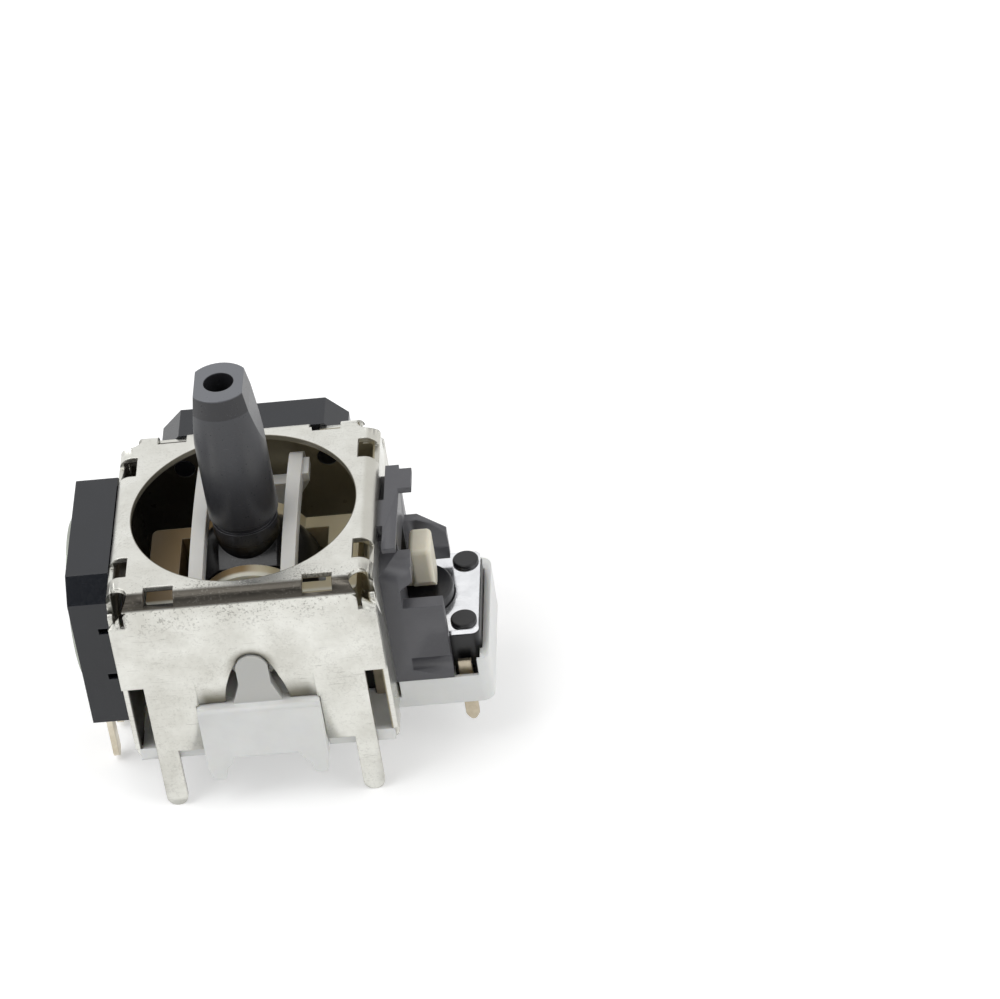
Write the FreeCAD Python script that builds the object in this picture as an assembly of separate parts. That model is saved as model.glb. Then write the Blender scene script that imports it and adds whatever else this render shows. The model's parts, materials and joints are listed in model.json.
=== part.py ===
import FreeCAD, Part
import math
import os

# Two-axis thumbstick module with a push switch at its side, in millimetres.
# +Z runs up the lever. -Y is the front, with the arched bearing and the two solder legs.
# +X is the switch side. The origin lies on the lever's axis, in the plane of the circuit board
# that the base stands on. Heights are measured from the board unless a name says otherwise.

V = FreeCAD.Vector
X_AXIS = V(1, 0, 0)
Y_AXIS = V(0, 1, 0)
Z_AXIS = V(0, 0, 1)

# Clearances
RUNNING = 0.05              # radial play of a shaft or slide in its bearing
SEAT = 0.03                 # play of a piece that is pushed into a pocket and stays there
AIR = 0.12                  # air between moving pieces that pass each other

# Motion
PIVOT_Z = 5.79              # height of the two crossed tilt axes
TILT = 18.0                 # lever's lean to each side, degrees
PRESS_TILT = 1.8            # lower arm's swing when the lever is pressed, degrees

# Cover, folded from steel sheet
SHEET = 0.30
COVER_WIDTH = 13.0
COVER_TOP = 10.65
BEND_RADIUS = 0.70
OPENING_RADIUS = 5.55
WINDOW_OFFSET = 3.85        # centre of each bend window from the side's middle
WINDOW_WIDTH = 1.45
WINDOW_REACH = 1.0          # how far a window runs onto the top face
WINDOW_DROP = 0.55          # how far below the top face it runs down the wall
RELIEF_RADIUS = 0.60
RELIEF_INSET = 0.52
CORNER_CUT = 1.05           # width of the cut across each wall's top corner
CORNER_CUT_DROP = 0.98
CORNER_SLIT = 0.06
REAR_NOTCH_X = 3.0
REAR_NOTCH = 0.45
PLATE_NECK = 5.42           # half width of the front plate below its shoulders
SHOULDER_Z = 5.10
LEG_WIDTH = 1.05
LEG_TIP_Z = -2.57
FRONT_BEARING_RADIUS = 0.84
ARCH_FOOT_HALF = 1.50       # arch's half width where it meets the block's cut-out
BLOCK_CUT_HALF = 3.05
BLOCK_CUT_TOP = 3.72
EMBOSS_DEPTH = 0.12
EMBOSS_RADIUS = 1.42
EMBOSS_HALF = 2.90
EMBOSS_LOBE = 0.75
EMBOSS_LOBE_Z = 4.60
TAB_CENTRE = 5.20
TAB_WIDTH = 1.20
TAB_FOOT = 1.10
TAB_BEND = 0.50

# Base, moulded
BASE_BOTTOM = 0.25
BASE_TOP = 0.95
BASE_INSET = 0.20           # base's side edge stands this far inside the cover's walls
BASE_BACK = 5.75
BOSS_OFFSET = 3.25
BOSS_RADIUS = 0.75
CENTRE_BOSS_RADIUS = 0.85
CENTRE_BORE_RADIUS = 0.45
CENTRE_BORE_DEPTH = 0.70
BLOCK_PROUD = 0.45          # front block stands this far out of the front plate
BLOCK_LEDGE = 1.0
PRONG_INNER = 2.20
PRONG_OUTER = 2.85
PRONG_TIP_Z = -0.85
PRONG_THICKNESS = 0.70
GUSSET_INNER = 1.60
GUSSET_Z = -0.15
POST_RADIUS = 0.90
POST_TOP = 2.20
REAR_TONGUE_X = 5.45
REAR_TONGUE_WIDTH = 1.10
REAR_TONGUE_Y = 7.25
PEG_RADIUS = 0.45
RIB_WIDTH = 0.50
RIB_DROP = 0.20
RIB_FRONT_Y = -1.30
RIB_BACK_Y = 2.40
TRAY_RIGHT = 11.15
TRAY_HALF_Y = 3.90
TRAY_BOTTOM = 0.30
TRAY_RIM = 1.95
TRAY_END_RIM = 2.95
TRAY_CORNER = 0.60
SWITCH_BOSS_RADIUS = 1.0
SWITCH_BORE_RADIUS = 0.475
SWITCH_BORE_DEPTH = 0.40

# Push switch
SWITCH_X = 7.80
SWITCH_SIZE = 6.0
SWITCH_BOTTOM = 0.50
SWITCH_BODY_TOP = 3.85
SWITCH_CORNER = 0.35
SWITCH_COVER = 0.30
RIVET_OFFSET = 2.25
RIVET_RADIUS = 0.65
RIVET_POST = 0.45
RIVET_HEAD = 0.20
BUTTON_RADIUS = 1.75
BUTTON_TOP = 4.75
BUTTON_TRAVEL = 0.30
BUTTON_FLANGE_RADIUS = 2.05
BUTTON_FLANGE = 0.40
NUB_RADIUS = 0.60
WELL_RADIUS = 2.20
WELL_BOTTOM = 2.20
DOME_SHEET = 0.10
DOME_RADIUS = 1.90
DOME_HEIGHT = 0.62
SWITCH_PIN_X = 2.20
SWITCH_PIN_Y = 3.25
SWITCH_PIN_WIDTH = 0.60
SWITCH_PIN_SHEET = 0.22
SWITCH_PIN_Z = 1.90
SWITCH_PIN_TIP_Z = -1.15

# Position sensors, left and rear
POT_HALF = 4.70
POT_BOTTOM = 1.65
POT_TOP = 10.25
POT_CHAMFER = 1.05
POT_DEPTH = 2.10
POT_FLOOR = 0.45
POT_WELL_RADIUS = 3.60
POT_RECESS_HALF = 3.60
POT_RECESS = 0.25
POT_RECESS_DEPTH = 0.95
POT_PEG_RADIUS = 0.50
POT_PEG_Y = 3.60
POT_PEG_UP = 2.60           # pegs above the tilt axis
POT_SLOT_HEIGHT = 0.35
POT_SLOT_LENGTH = 0.85
POT_SLOT_DEPTH = 0.40
POT_SLOT_LOW = 4.55
POT_SLOT_HIGH = 7.45
CAP_RADIUS = 4.0
CAP_LIP = 0.25
CAP_PLUG = 0.30
CAP_HOLE_RING = 2.30
CAP_HOLE_RADIUS = 0.28
CAP_HOLE_LENGTH = 0.70
CAP_HOLES = 4
TRACK_OUTER = 3.45
TRACK_INNER = 2.75
TRACK_SHEET = 0.15
ROTOR_RADIUS = 3.30
ROTOR_DISC = 0.55
ROTOR_HUB_RADIUS = 1.20
ROTOR_AXLE_RADIUS = 0.82
WIPER_SHEET = 0.12
WIPER_RING = 1.60
WIPER_ARM_WIDTH = 0.70
PIN_PITCH = 2.50
PIN_SET = 1.70              # pins' distance outward from the cover's wall
PIN_WIDTH = 0.80
PIN_SHEET = 0.30
PIN_TIP_Z = -2.39
PIN_HEAD = 0.25

# Tongues that turn the two rotors
TONGUE_HALF_WIDTH = 0.45
TONGUE_HALF_HEIGHT = 0.80
TONGUE_NECK_HALF = 0.68
PRESS_PIVOT_X = -6.40

# Lower arm, which carries the lever
ARM_HALF_X = 5.20
ARM_HALF_Y = 2.90
ARM_BOTTOM = -1.35          # below the tilt axis
ARM_SIDE_TOP = 1.50         # side walls above the tilt axis
ARM_END_TOP = 3.56
ARM_END_CROWN = 3.84
ARM_EDGE = 0.35
EAR_RADIUS = 2.90
ARM_NECK_RADIUS = 0.80
ARM_BOSS_RADIUS = 0.95      # root of the neck, the only part of the arm low over the switch
ARM_BEARING_RADIUS = 0.86
ARM_SLOT_HALF = 1.05
ARM_SLOT_FLARE = 0.35
PADDLE_INNER_X = 7.70
PADDLE_OUTER_X = 8.80
PADDLE_HALF_Y = 0.95
PADDLE_TOP = 1.86
PADDLE_FOOT_RADIUS = 0.85
PADDLE_FOOT_HALF = 0.55
PADDLE_SIDE_Z = -0.10
PADDLE_EDGE = 0.25

# Upper arm, the slotted arch over the lever
SLOT_HALF = 1.85
RAIL_WIDTH = 0.75
ARCH_UNDERSIDE = 3.50       # above the tilt axis
ARCH_TOP = 4.30
SLOT_END = 4.55
ARCH_LEG_INNER = 5.0
ARCH_LEG_OUTER = 5.75
ARCH_SHOULDER_Y = 4.70
ARCH_SHOULDER_Z = 3.20
ARCH_FOOT_RADIUS = 1.20
ARCH_AXLE_RADIUS = 0.78
ARCH_AXLE_PROUD = 0.05
ARCH_EDGE = 0.18

# Lever
SHAFT_RADIUS = 1.72
SHAFT_TOP = 18.41
TIP_HEIGHT = 1.08
TIP_RADIUS = 1.53
FLAT_HALF_TOP = 1.19
FLAT_LENGTH = 3.60
LEVER_BORE_RADIUS = 0.74
LEVER_BORE_DEPTH = 2.50
SHAFT_FOOT = 4.76           # shaft's lower end above the tilt axis
GROOVE_RADIUS = 1.48
COLLAR_RADIUS = 1.62
COLLAR_BOTTOM = 3.61
COLLAR_TOP = 4.36
NECK_RADIUS = 1.56
HUB_CROWN = 3.25
HUB_HALF_X = 3.20
HUB_HALF_Y = 1.95
HUB_SPHERE = 3.55
HUB_BOTTOM = -0.95
FOOT_SPHERE = 2.20
FOOT_FLAT_Z = -2.05
TRUNNION_RADIUS = 0.90
TRUNNION_REACH = 2.75

# Return disc and spring under the lever
DISC_GAP = 0.20             # below the lever's foot at rest
DISC_RADIUS = 2.30
DISC_THICKNESS = 0.60
SLEEVE_RADIUS = 1.22
SLEEVE_BOTTOM = 1.90
SPRING_RADIUS = 1.62
SPRING_WIRE = 0.13          # wire's radius
SPRING_TURNS = 3.5

# Holder at the switch side
HOLDER_OUTER_X = 7.40
HOLDER_FRONT = 3.90
HOLDER_BACK = 3.10
HOLDER_TOP = 9.95
HOLDER_STRIP = 0.32
HOLDER_STRIP_FRONT = 3.27
HOLDER_STRIP_X = 7.47
HOOK_OUTER_X = 8.10
HOOK_FRONT = 1.25
HOOK_BACK = 2.78
HOLDER_BLOCK_X = 8.0
HOLDER_BLOCK_BACK = 1.90
HOLDER_BLOCK_TOP = 8.65
HOLDER_BLOCK_DEPTH = 0.95
CHEEK_OUTER_X = 9.35
CHEEK_THICKNESS = 0.75
CHEEK_TOP = 6.60
CHEEK_BAND_TOP = 3.40
CHEEK_BAND_BOTTOM = 2.62
CHEEK_BAND_DEPTH = 0.35
REAR_CHEEK_Y = 2.0
REAR_CHEEK_THICKNESS = 0.50
REAR_CHEEK_TOP = 7.25
REAR_CHEEK_EDGE_TOP = 6.25
REAR_CHEEK_BOTTOM = 4.65
HOLDER_SLOT_HALF = 1.10
HOLDER_PEG_RADIUS = 0.40
HOLDER_PEG_Y = 2.45
HOLDER_PEG_Z = 8.70

# Sizes that follow from those above
COVER_HALF = COVER_WIDTH / 2
BASE_HALF_X = COVER_HALF - BASE_INSET
COVER_INNER = COVER_HALF - SHEET
PLATE_FRONT = -COVER_HALF
PLATE_BACK = -COVER_INNER
TAN_TILT = math.tan(math.radians(TILT))
RAIL_OUTER = SLOT_HALF + RAIL_WIDTH
RAIL_SWING = math.hypot(RAIL_OUTER, ARCH_TOP) * math.sin(
    math.atan2(RAIL_OUTER, ARCH_TOP) + math.radians(TILT))
ARM_END_INNER = RAIL_SWING + AIR
SWITCH_COVER_TOP = SWITCH_BODY_TOP + SWITCH_COVER
RIVET_TOP = SWITCH_COVER_TOP + RIVET_HEAD
SWITCH_CLEAR_TOP = RIVET_TOP + AIR
SWITCH_CLEAR_HALF = SWITCH_SIZE / 2 + AIR
LEVER_TOP = SHAFT_TOP - PIVOT_Z
DISC_TOP = PIVOT_Z + FOOT_FLAT_Z - DISC_GAP
POT_FACE = COVER_HALF + POT_DEPTH
TAB_BOTTOM = BASE_BOTTOM - SHEET + 0.10
ROTOR_BACK = COVER_HALF + POT_FLOOR + AIR
WIPER_BACK = ROTOR_BACK + ROTOR_DISC
CAP_INNER = POT_FACE - CAP_PLUG
TRACK_FACE = CAP_INNER - TRACK_SHEET
PIVOT = V(0, 0, PIVOT_Z)


def box(x0, x1, y0, y1, z0, z1):
    """Box between two corners."""
    return Part.makeBox(x1 - x0, y1 - y0, z1 - z0, V(x0, y0, z0))


def rod(start, direction, radius, length):
    """Round bar from a point, along a direction."""
    return Part.makeCylinder(radius, length, start, direction)


def face_of(points, at):
    """Flat face through 2-D points, each placed in space by the function at."""
    corners = [at(a, b) for a, b in points]
    return Part.Face(Part.makePolygon(corners + [corners[0]]))


def prism_x(points, x0, x1):
    """Solid with an outline in Y and Z, from x0 to x1."""
    return face_of(points, lambda y, z: V(x0, y, z)).extrude(V(x1 - x0, 0, 0))


def prism_y(points, y0, y1):
    """Solid with an outline in X and Z, from y0 to y1."""
    return face_of(points, lambda x, z: V(x, y0, z)).extrude(V(0, y1 - y0, 0))


def prism_z(points, z0, z1):
    """Solid with an outline in X and Y, from z0 to z1."""
    return face_of(points, lambda x, y: V(x, y, z0)).extrude(V(0, 0, z1 - z0))


def join(shapes):
    """One solid from several that touch or overlap."""
    first, *rest = shapes
    return first.multiFuse(rest).removeSplitter() if rest else first


def without(shape, tools):
    """Shape with each tool cut away."""
    for tool in tools:
        shape = shape.cut(tool)
    return shape


def mirror_x(shape):
    """The shape's twin on the other side of the Y-Z plane."""
    return shape.mirror(V(0, 0, 0), X_AXIS)


def mirror_y(shape):
    """The shape's twin on the other side of the X-Z plane."""
    return shape.mirror(V(0, 0, 0), Y_AXIS)


def both_x(shape):
    """A shape and its twin across the Y-Z plane."""
    return [shape, mirror_x(shape)]


def both_y(shape):
    """A shape and its twin across the X-Z plane."""
    return [shape, mirror_y(shape)]


def turned(shape, degrees):
    """Shape turned about the vertical axis through the origin."""
    copy = shape.copy()
    copy.rotate(V(0, 0, 0), Z_AXIS, degrees)
    return copy


def rounded(shape, radius, chosen):
    """Shape with a fillet on every edge whose middle the function chosen accepts."""
    edges = [edge for edge in shape.Edges if chosen(edge)]
    return shape.makeFillet(radius, edges) if edges else shape


def middle(edge):
    """Point half way along an edge."""
    first, last = edge.ParameterRange
    return edge.valueAt((first + last) / 2)


def is_straight(edge, direction):
    """True for a straight edge parallel to a direction."""
    if not isinstance(edge.Curve, Part.Line):
        return False
    return edge.tangentAt(edge.FirstParameter).cross(direction).Length < 1e-6


def obround_x(y, z, half_length, radius, x0, x1):
    """Bar along X with a rounded slot's outline that stands upright in Z."""
    ends = [rod(V(x0, y, z + side * half_length), X_AXIS, radius, x1 - x0) for side in (-1, 1)]
    core = box(x0, x1, y - radius, y + radius, z - half_length, z + half_length)
    return join([core] + ends)


# Cover


def cover_blank(half, top, bend):
    """Solid block with the cover's outline, rounded along its four top edges."""
    block = box(-half, half, -half, half, BASE_TOP, top)
    return rounded(block, bend, lambda edge: middle(edge).z > top - 1e-6)


def bend_windows():
    """Tools for the two windows on each of the four bends."""
    window = box(COVER_HALF - WINDOW_REACH, COVER_HALF + SHEET,
                 WINDOW_OFFSET - WINDOW_WIDTH / 2, WINDOW_OFFSET + WINDOW_WIDTH / 2,
                 COVER_TOP - WINDOW_DROP, COVER_TOP + SHEET)
    pair = both_y(window)
    return [turned(one, quarter * 90) for one in pair for quarter in range(4)]


def corner_cuts():
    """Tools for the relief holes, the cut corners and the slits between the walls."""
    tools = []
    inset = COVER_HALF - RELIEF_INSET
    low = COVER_TOP - BEND_RADIUS - CORNER_CUT_DROP
    beyond = COVER_HALF + SHEET
    for quarter in range(4):
        hole = rod(V(inset, inset, low), Z_AXIS, RELIEF_RADIUS, COVER_TOP - low + SHEET)
        square = box(inset, beyond, inset, beyond, low, COVER_TOP + SHEET)
        start = COVER_HALF - CORNER_CUT
        slope = CORNER_CUT_DROP / CORNER_CUT
        outline = [(start, COVER_TOP - BEND_RADIUS),
                   (beyond, COVER_TOP - BEND_RADIUS - slope * (beyond - start)),
                   (beyond, COVER_TOP - BEND_RADIUS)]
        wedge = prism_y(outline, COVER_INNER - SHEET, beyond)
        slit = box(COVER_INNER, beyond, COVER_INNER - CORNER_SLIT, COVER_INNER, 0, low + SHEET)
        for tool in (hole, square, wedge):
            tools.append(turned(tool, quarter * 90))
        for tool in both_y(slit):
            tools.append(tool if quarter % 2 else mirror_x(tool))
    for tool in both_y(wedge_on_side(low)):
        tools.extend(both_x(tool))
    return tools


def wedge_on_side(low):
    """Tool that cuts the side walls' top corners like those of the front plate."""
    start = COVER_HALF - CORNER_CUT
    outline = [(start, COVER_TOP - BEND_RADIUS), (COVER_HALF, low), (COVER_HALF, COVER_TOP - BEND_RADIUS)]
    return prism_x(outline, COVER_INNER - SHEET, COVER_HALF + SHEET)


def front_arch(radius, foot_half, y0, y1):
    """Bearing arch as a solid through the front plate, with a true round top."""
    crown = rod(V(0, y0, PIVOT_Z), Y_AXIS, radius, y1 - y0)
    foot = prism_y([(-foot_half, BLOCK_CUT_TOP), (foot_half, BLOCK_CUT_TOP),
                    (radius, PIVOT_Z), (-radius, PIVOT_Z)], y0, y1)
    return join([crown, foot])


def emboss(y0, y1):
    """The pressed field around the front arch."""
    crown = rod(V(0, y0, PIVOT_Z), Y_AXIS, EMBOSS_RADIUS, y1 - y0)
    stem = box(-EMBOSS_RADIUS, EMBOSS_RADIUS, y0, y1, BLOCK_CUT_TOP, PIVOT_Z)
    foot = box(-EMBOSS_HALF, EMBOSS_HALF, y0, y1, BLOCK_CUT_TOP, EMBOSS_LOBE_Z)
    lobe = rod(V(EMBOSS_HALF - EMBOSS_LOBE, y0, EMBOSS_LOBE_Z), Y_AXIS, EMBOSS_LOBE, y1 - y0)
    return join([crown, stem, foot] + both_x(lobe))


def solder_leg():
    """One long leg of the front plate, with a rounded tip."""
    tip = LEG_WIDTH / 2
    centre = PLATE_NECK - tip
    strap = box(centre - tip, PLATE_NECK, PLATE_FRONT, PLATE_BACK, LEG_TIP_Z + tip, BASE_TOP + SHEET)
    end = rod(V(centre, PLATE_FRONT, LEG_TIP_Z + tip), Y_AXIS, tip, SHEET)
    return join([strap, end])


def folded_tab():
    """Tab of a side wall that goes down past the base and folds in beneath it."""
    y0 = TAB_CENTRE - TAB_WIDTH / 2
    y1 = TAB_CENTRE + TAB_WIDTH / 2
    outer = box(COVER_INNER - TAB_FOOT, COVER_HALF, y0, y1, TAB_BOTTOM, BASE_TOP)
    inner = box(COVER_INNER - TAB_FOOT - SHEET, COVER_INNER, y0, y1, TAB_BOTTOM + SHEET, BASE_TOP)
    outer = rounded(outer, TAB_BEND, lambda edge: is_straight(edge, Y_AXIS)
                    and middle(edge).x > COVER_INNER and middle(edge).z < BASE_BOTTOM)
    inner = rounded(inner, TAB_BEND - SHEET, lambda edge: is_straight(edge, Y_AXIS)
                    and middle(edge).x > COVER_INNER - SHEET and middle(edge).z < BASE_BOTTOM + SHEET)
    return outer.cut(inner)


def arm_slot(x0, x1):
    """Opening for the lower arm's neck, with a half-round top that stops its rise."""
    crown = rod(V(x0, 0, PIVOT_Z), X_AXIS, ARM_BEARING_RADIUS, x1 - x0)
    flare = prism_x([(-ARM_BEARING_RADIUS, PIVOT_Z), (ARM_BEARING_RADIUS, PIVOT_Z),
                     (ARM_SLOT_HALF, PIVOT_Z - ARM_SLOT_FLARE),
                     (ARM_SLOT_HALF, SWITCH_CLEAR_TOP - AIR),
                     (-ARM_SLOT_HALF, SWITCH_CLEAR_TOP - AIR),
                     (-ARM_SLOT_HALF, PIVOT_Z - ARM_SLOT_FLARE)], x0, x1)
    return join([crown, flare])


def switch_clearance(x0, x1, bottom):
    """Opening that the push switch stands in."""
    return box(x0, x1, -SWITCH_CLEAR_HALF, SWITCH_CLEAR_HALF, bottom, SWITCH_CLEAR_TOP)


def button_clearance():
    """Room that the switch's button takes up below the holder and the cover's slot."""
    return rod(V(SWITCH_X, 0, SWITCH_BODY_TOP), Z_AXIS, BUTTON_RADIUS + AIR,
               BUTTON_TOP + AIR - SWITCH_BODY_TOP)


def make_frame_cover():
    """Sheet cover: top with the round opening, four walls, legs and folded tabs."""
    shell = cover_blank(COVER_HALF, COVER_TOP, BEND_RADIUS)
    shell = shell.cut(cover_blank(COVER_INNER, COVER_TOP - SHEET, BEND_RADIUS - SHEET))
    beyond = COVER_HALF + SHEET
    shell = join([shell, emboss(PLATE_BACK, PLATE_BACK + EMBOSS_DEPTH)])
    hub_hole = ROTOR_HUB_RADIUS + RUNNING + AIR
    peg_holes = [rod(V(COVER_INNER, y, PIVOT_Z + POT_PEG_UP), X_AXIS, POT_PEG_RADIUS + SEAT, SHEET)
                 for y in (-POT_PEG_Y, POT_PEG_Y)]
    wall_holes = peg_holes + [rod(V(COVER_INNER, 0, PIVOT_Z), X_AXIS, hub_hole, SHEET)]
    tools = [rod(V(0, 0, COVER_TOP - SHEET * 2), Z_AXIS, OPENING_RADIUS, SHEET * 3)]
    tools += bend_windows() + corner_cuts()
    tools += [turned(tool, angle) for tool in wall_holes for angle in (90, 180)]
    tools.append(rod(V(COVER_INNER, HOLDER_PEG_Y, HOLDER_PEG_Z), X_AXIS, HOLDER_PEG_RADIUS + SEAT, SHEET))
    tools.append(emboss(PLATE_FRONT - SHEET, PLATE_FRONT + EMBOSS_DEPTH))
    tools.append(front_arch(FRONT_BEARING_RADIUS, ARCH_FOOT_HALF, PLATE_FRONT - SHEET,
                            PLATE_BACK + SHEET))
    tools.append(box(-BLOCK_CUT_HALF, BLOCK_CUT_HALF, PLATE_FRONT - SHEET, PLATE_BACK + SHEET,
                     0, BLOCK_CUT_TOP))
    tools += both_x(box(PLATE_NECK, beyond, PLATE_FRONT - SHEET, PLATE_BACK, 0, SHOULDER_Z))
    tools.append(arm_slot(COVER_INNER - SHEET, beyond))
    tools.append(switch_clearance(COVER_INNER - SHEET, beyond, 0))
    tools.append(button_clearance())
    tools.append(box(REAR_NOTCH_X, REAR_NOTCH_X + REAR_NOTCH, COVER_HALF - BEND_RADIUS, beyond,
                     COVER_TOP - SHEET - BEND_RADIUS, COVER_TOP + SHEET))
    shell = without(shell, tools)
    tabs = [tab for pair in both_y(folded_tab()) for tab in both_x(pair)]
    return join([shell] + both_x(solder_leg()) + tabs)


# Base


def base_plate():
    """Main plate with its front block, rear tongues and the tray under the switch."""
    front = PLATE_BACK + RUNNING
    plate = box(-BASE_HALF_X, BASE_HALF_X, front, BASE_BACK, BASE_BOTTOM, BASE_TOP)
    block_half = BLOCK_CUT_HALF - RUNNING
    block_top = BLOCK_CUT_TOP - RUNNING
    block_front = PLATE_FRONT - BLOCK_PROUD
    block = box(-block_half, block_half, block_front, block_front + BLOCK_LEDGE, BASE_BOTTOM, block_top)
    block = rounded(block, PEG_RADIUS / 2, lambda edge: is_straight(edge, X_AXIS)
                    and middle(edge).z > block_top - 1e-6 and middle(edge).y < PLATE_FRONT)
    heel = box(-block_half, block_half, block_front, front + BLOCK_LEDGE, BASE_BOTTOM, BASE_TOP)
    tray = box(SWITCH_X - SWITCH_SIZE / 2 - AIR, TRAY_RIGHT, -TRAY_HALF_Y, TRAY_HALF_Y,
               TRAY_BOTTOM, TRAY_END_RIM)
    tray = rounded(tray, TRAY_CORNER, lambda edge: is_straight(edge, Z_AXIS)
                   and middle(edge).x > TRAY_RIGHT - 1e-6)
    tray = tray.cut(box(0, TRAY_RIGHT - TRAY_CORNER, -TRAY_HALF_Y, TRAY_HALF_Y, TRAY_RIM,
                        TRAY_END_RIM))
    inner = BASE_HALF_X + SHEET
    tray = tray.cut(box(0, inner, -TRAY_HALF_Y, TRAY_HALF_Y, BASE_TOP, TRAY_END_RIM))
    tongue = box(REAR_TONGUE_X - REAR_TONGUE_WIDTH / 2, REAR_TONGUE_X + REAR_TONGUE_WIDTH / 2,
                 BASE_BACK - REAR_TONGUE_WIDTH, REAR_TONGUE_Y, BASE_BOTTOM, BASE_TOP)
    peg = rod(V(REAR_TONGUE_X, REAR_TONGUE_Y - REAR_TONGUE_WIDTH / 2, PRONG_TIP_Z), Z_AXIS,
              PEG_RADIUS, BASE_BOTTOM - PRONG_TIP_Z)
    return join([plate, heel, block, tray] + both_x(tongue) + both_x(peg))


def base_finger():
    """Upright finger that closes the front arch and carries the upper arm's front axle."""
    y0 = PLATE_FRONT
    y1 = PLATE_FRONT - BLOCK_PROUD + BLOCK_LEDGE
    finger = front_arch(FRONT_BEARING_RADIUS - RUNNING, ARCH_FOOT_HALF - RUNNING, y0, y1)
    seat_z = PIVOT_Z
    finger = finger.cut(box(-ARCH_FOOT_HALF, ARCH_FOOT_HALF, y0 - SHEET, y1 + SHEET, seat_z,
                            seat_z + FRONT_BEARING_RADIUS * 2))
    root = box(-ARCH_FOOT_HALF + RUNNING, ARCH_FOOT_HALF - RUNNING, y0, y1,
               BLOCK_CUT_TOP - RUNNING * 2, BLOCK_CUT_TOP)
    bore = rod(V(0, y0 - SHEET, PIVOT_Z), Y_AXIS, ARCH_AXLE_RADIUS + RUNNING, y1 - y0 + SHEET * 2)
    return join([finger, root]).cut(bore)


def base_prong():
    """Prong under the front block, with its stepped gusset."""
    front = PLATE_FRONT - BLOCK_PROUD
    tip = (PRONG_OUTER - PRONG_INNER) / 2
    back = front + PRONG_THICKNESS
    strap = box(PRONG_INNER, PRONG_OUTER, front, back, PRONG_TIP_Z + tip, BASE_BOTTOM)
    end = rod(V(PRONG_INNER + tip, front, PRONG_TIP_Z + tip), Y_AXIS, tip, PRONG_THICKNESS)
    gusset = prism_y([(GUSSET_INNER, BASE_BOTTOM), (PRONG_INNER, GUSSET_Z), (PRONG_INNER, BASE_BOTTOM)],
                     front, back)
    return join([strap, end, gusset])


def switch_pin_places():
    """Centres of the four switch pins in plan, with the side that each leaves on."""
    return [(SWITCH_X + sx * SWITCH_PIN_X, sy * SWITCH_PIN_Y, sy) for sx in (-1, 1) for sy in (-1, 1)]


def make_base():
    """Moulded base that the whole module stands on."""
    plate = base_plate()
    bosses = [rod(V(sx * BOSS_OFFSET, sy * BOSS_OFFSET, 0), Z_AXIS, BOSS_RADIUS, BASE_BOTTOM)
              for sx in (-1, 1) for sy in (-1, 1)]
    bosses.append(rod(V(0, 0, 0), Z_AXIS, CENTRE_BOSS_RADIUS, BASE_BOTTOM))
    bosses.append(rod(V(SWITCH_X, 0, 0), Z_AXIS, SWITCH_BOSS_RADIUS, TRAY_BOTTOM))
    rib_end = SWITCH_X + SWITCH_PIN_X
    ribs = [box(BOSS_OFFSET, rib_end, y - RIB_WIDTH / 2, y + RIB_WIDTH / 2,
                BASE_BOTTOM - RIB_DROP, TRAY_BOTTOM) for y in (RIB_FRONT_Y, RIB_BACK_Y)]
    post = rod(V(0, 0, BASE_TOP), Z_AXIS, POST_RADIUS, POST_TOP - BASE_TOP)
    solid = join([plate, base_finger(), post] + bosses + ribs + both_x(base_prong()))
    seat = SWITCH_SIZE / 2 + SEAT
    tools = [box(SWITCH_X - seat, SWITCH_X + seat, -seat, seat, SWITCH_BOTTOM, TRAY_END_RIM + SHEET),
             rod(V(0, 0, 0), Z_AXIS, CENTRE_BORE_RADIUS, CENTRE_BORE_DEPTH),
             rod(V(SWITCH_X, 0, 0), Z_AXIS, SWITCH_BORE_RADIUS, SWITCH_BORE_DEPTH)]
    pin_half = SWITCH_PIN_WIDTH / 2 + RUNNING
    for x, y, side in switch_pin_places():
        reach = sorted((side * SWITCH_SIZE / 2, y + side * (SWITCH_PIN_SHEET / 2 + RUNNING)))
        tools.append(box(x - pin_half, x + pin_half, reach[0], reach[1], 0, TRAY_END_RIM + SHEET))
    edge = COVER_INNER - RUNNING
    tab_half = TAB_WIDTH / 2 + RUNNING
    bend = TAB_BEND - SHEET + RUNNING
    steps = [(edge, BASE_TOP), (COVER_INNER - bend, TAB_BOTTOM + SHEET + bend),
             (COVER_INNER - TAB_FOOT - RUNNING, TAB_BOTTOM + SHEET)]
    pocket = [box(start, BASE_HALF_X + SHEET, TAB_CENTRE - tab_half, TAB_CENTRE + tab_half, 0, top)
              for start, top in steps]
    tools += [tool for one in pocket for pair in both_y(one) for tool in both_x(pair)]
    return without(solid, tools)


# Push switch


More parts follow.
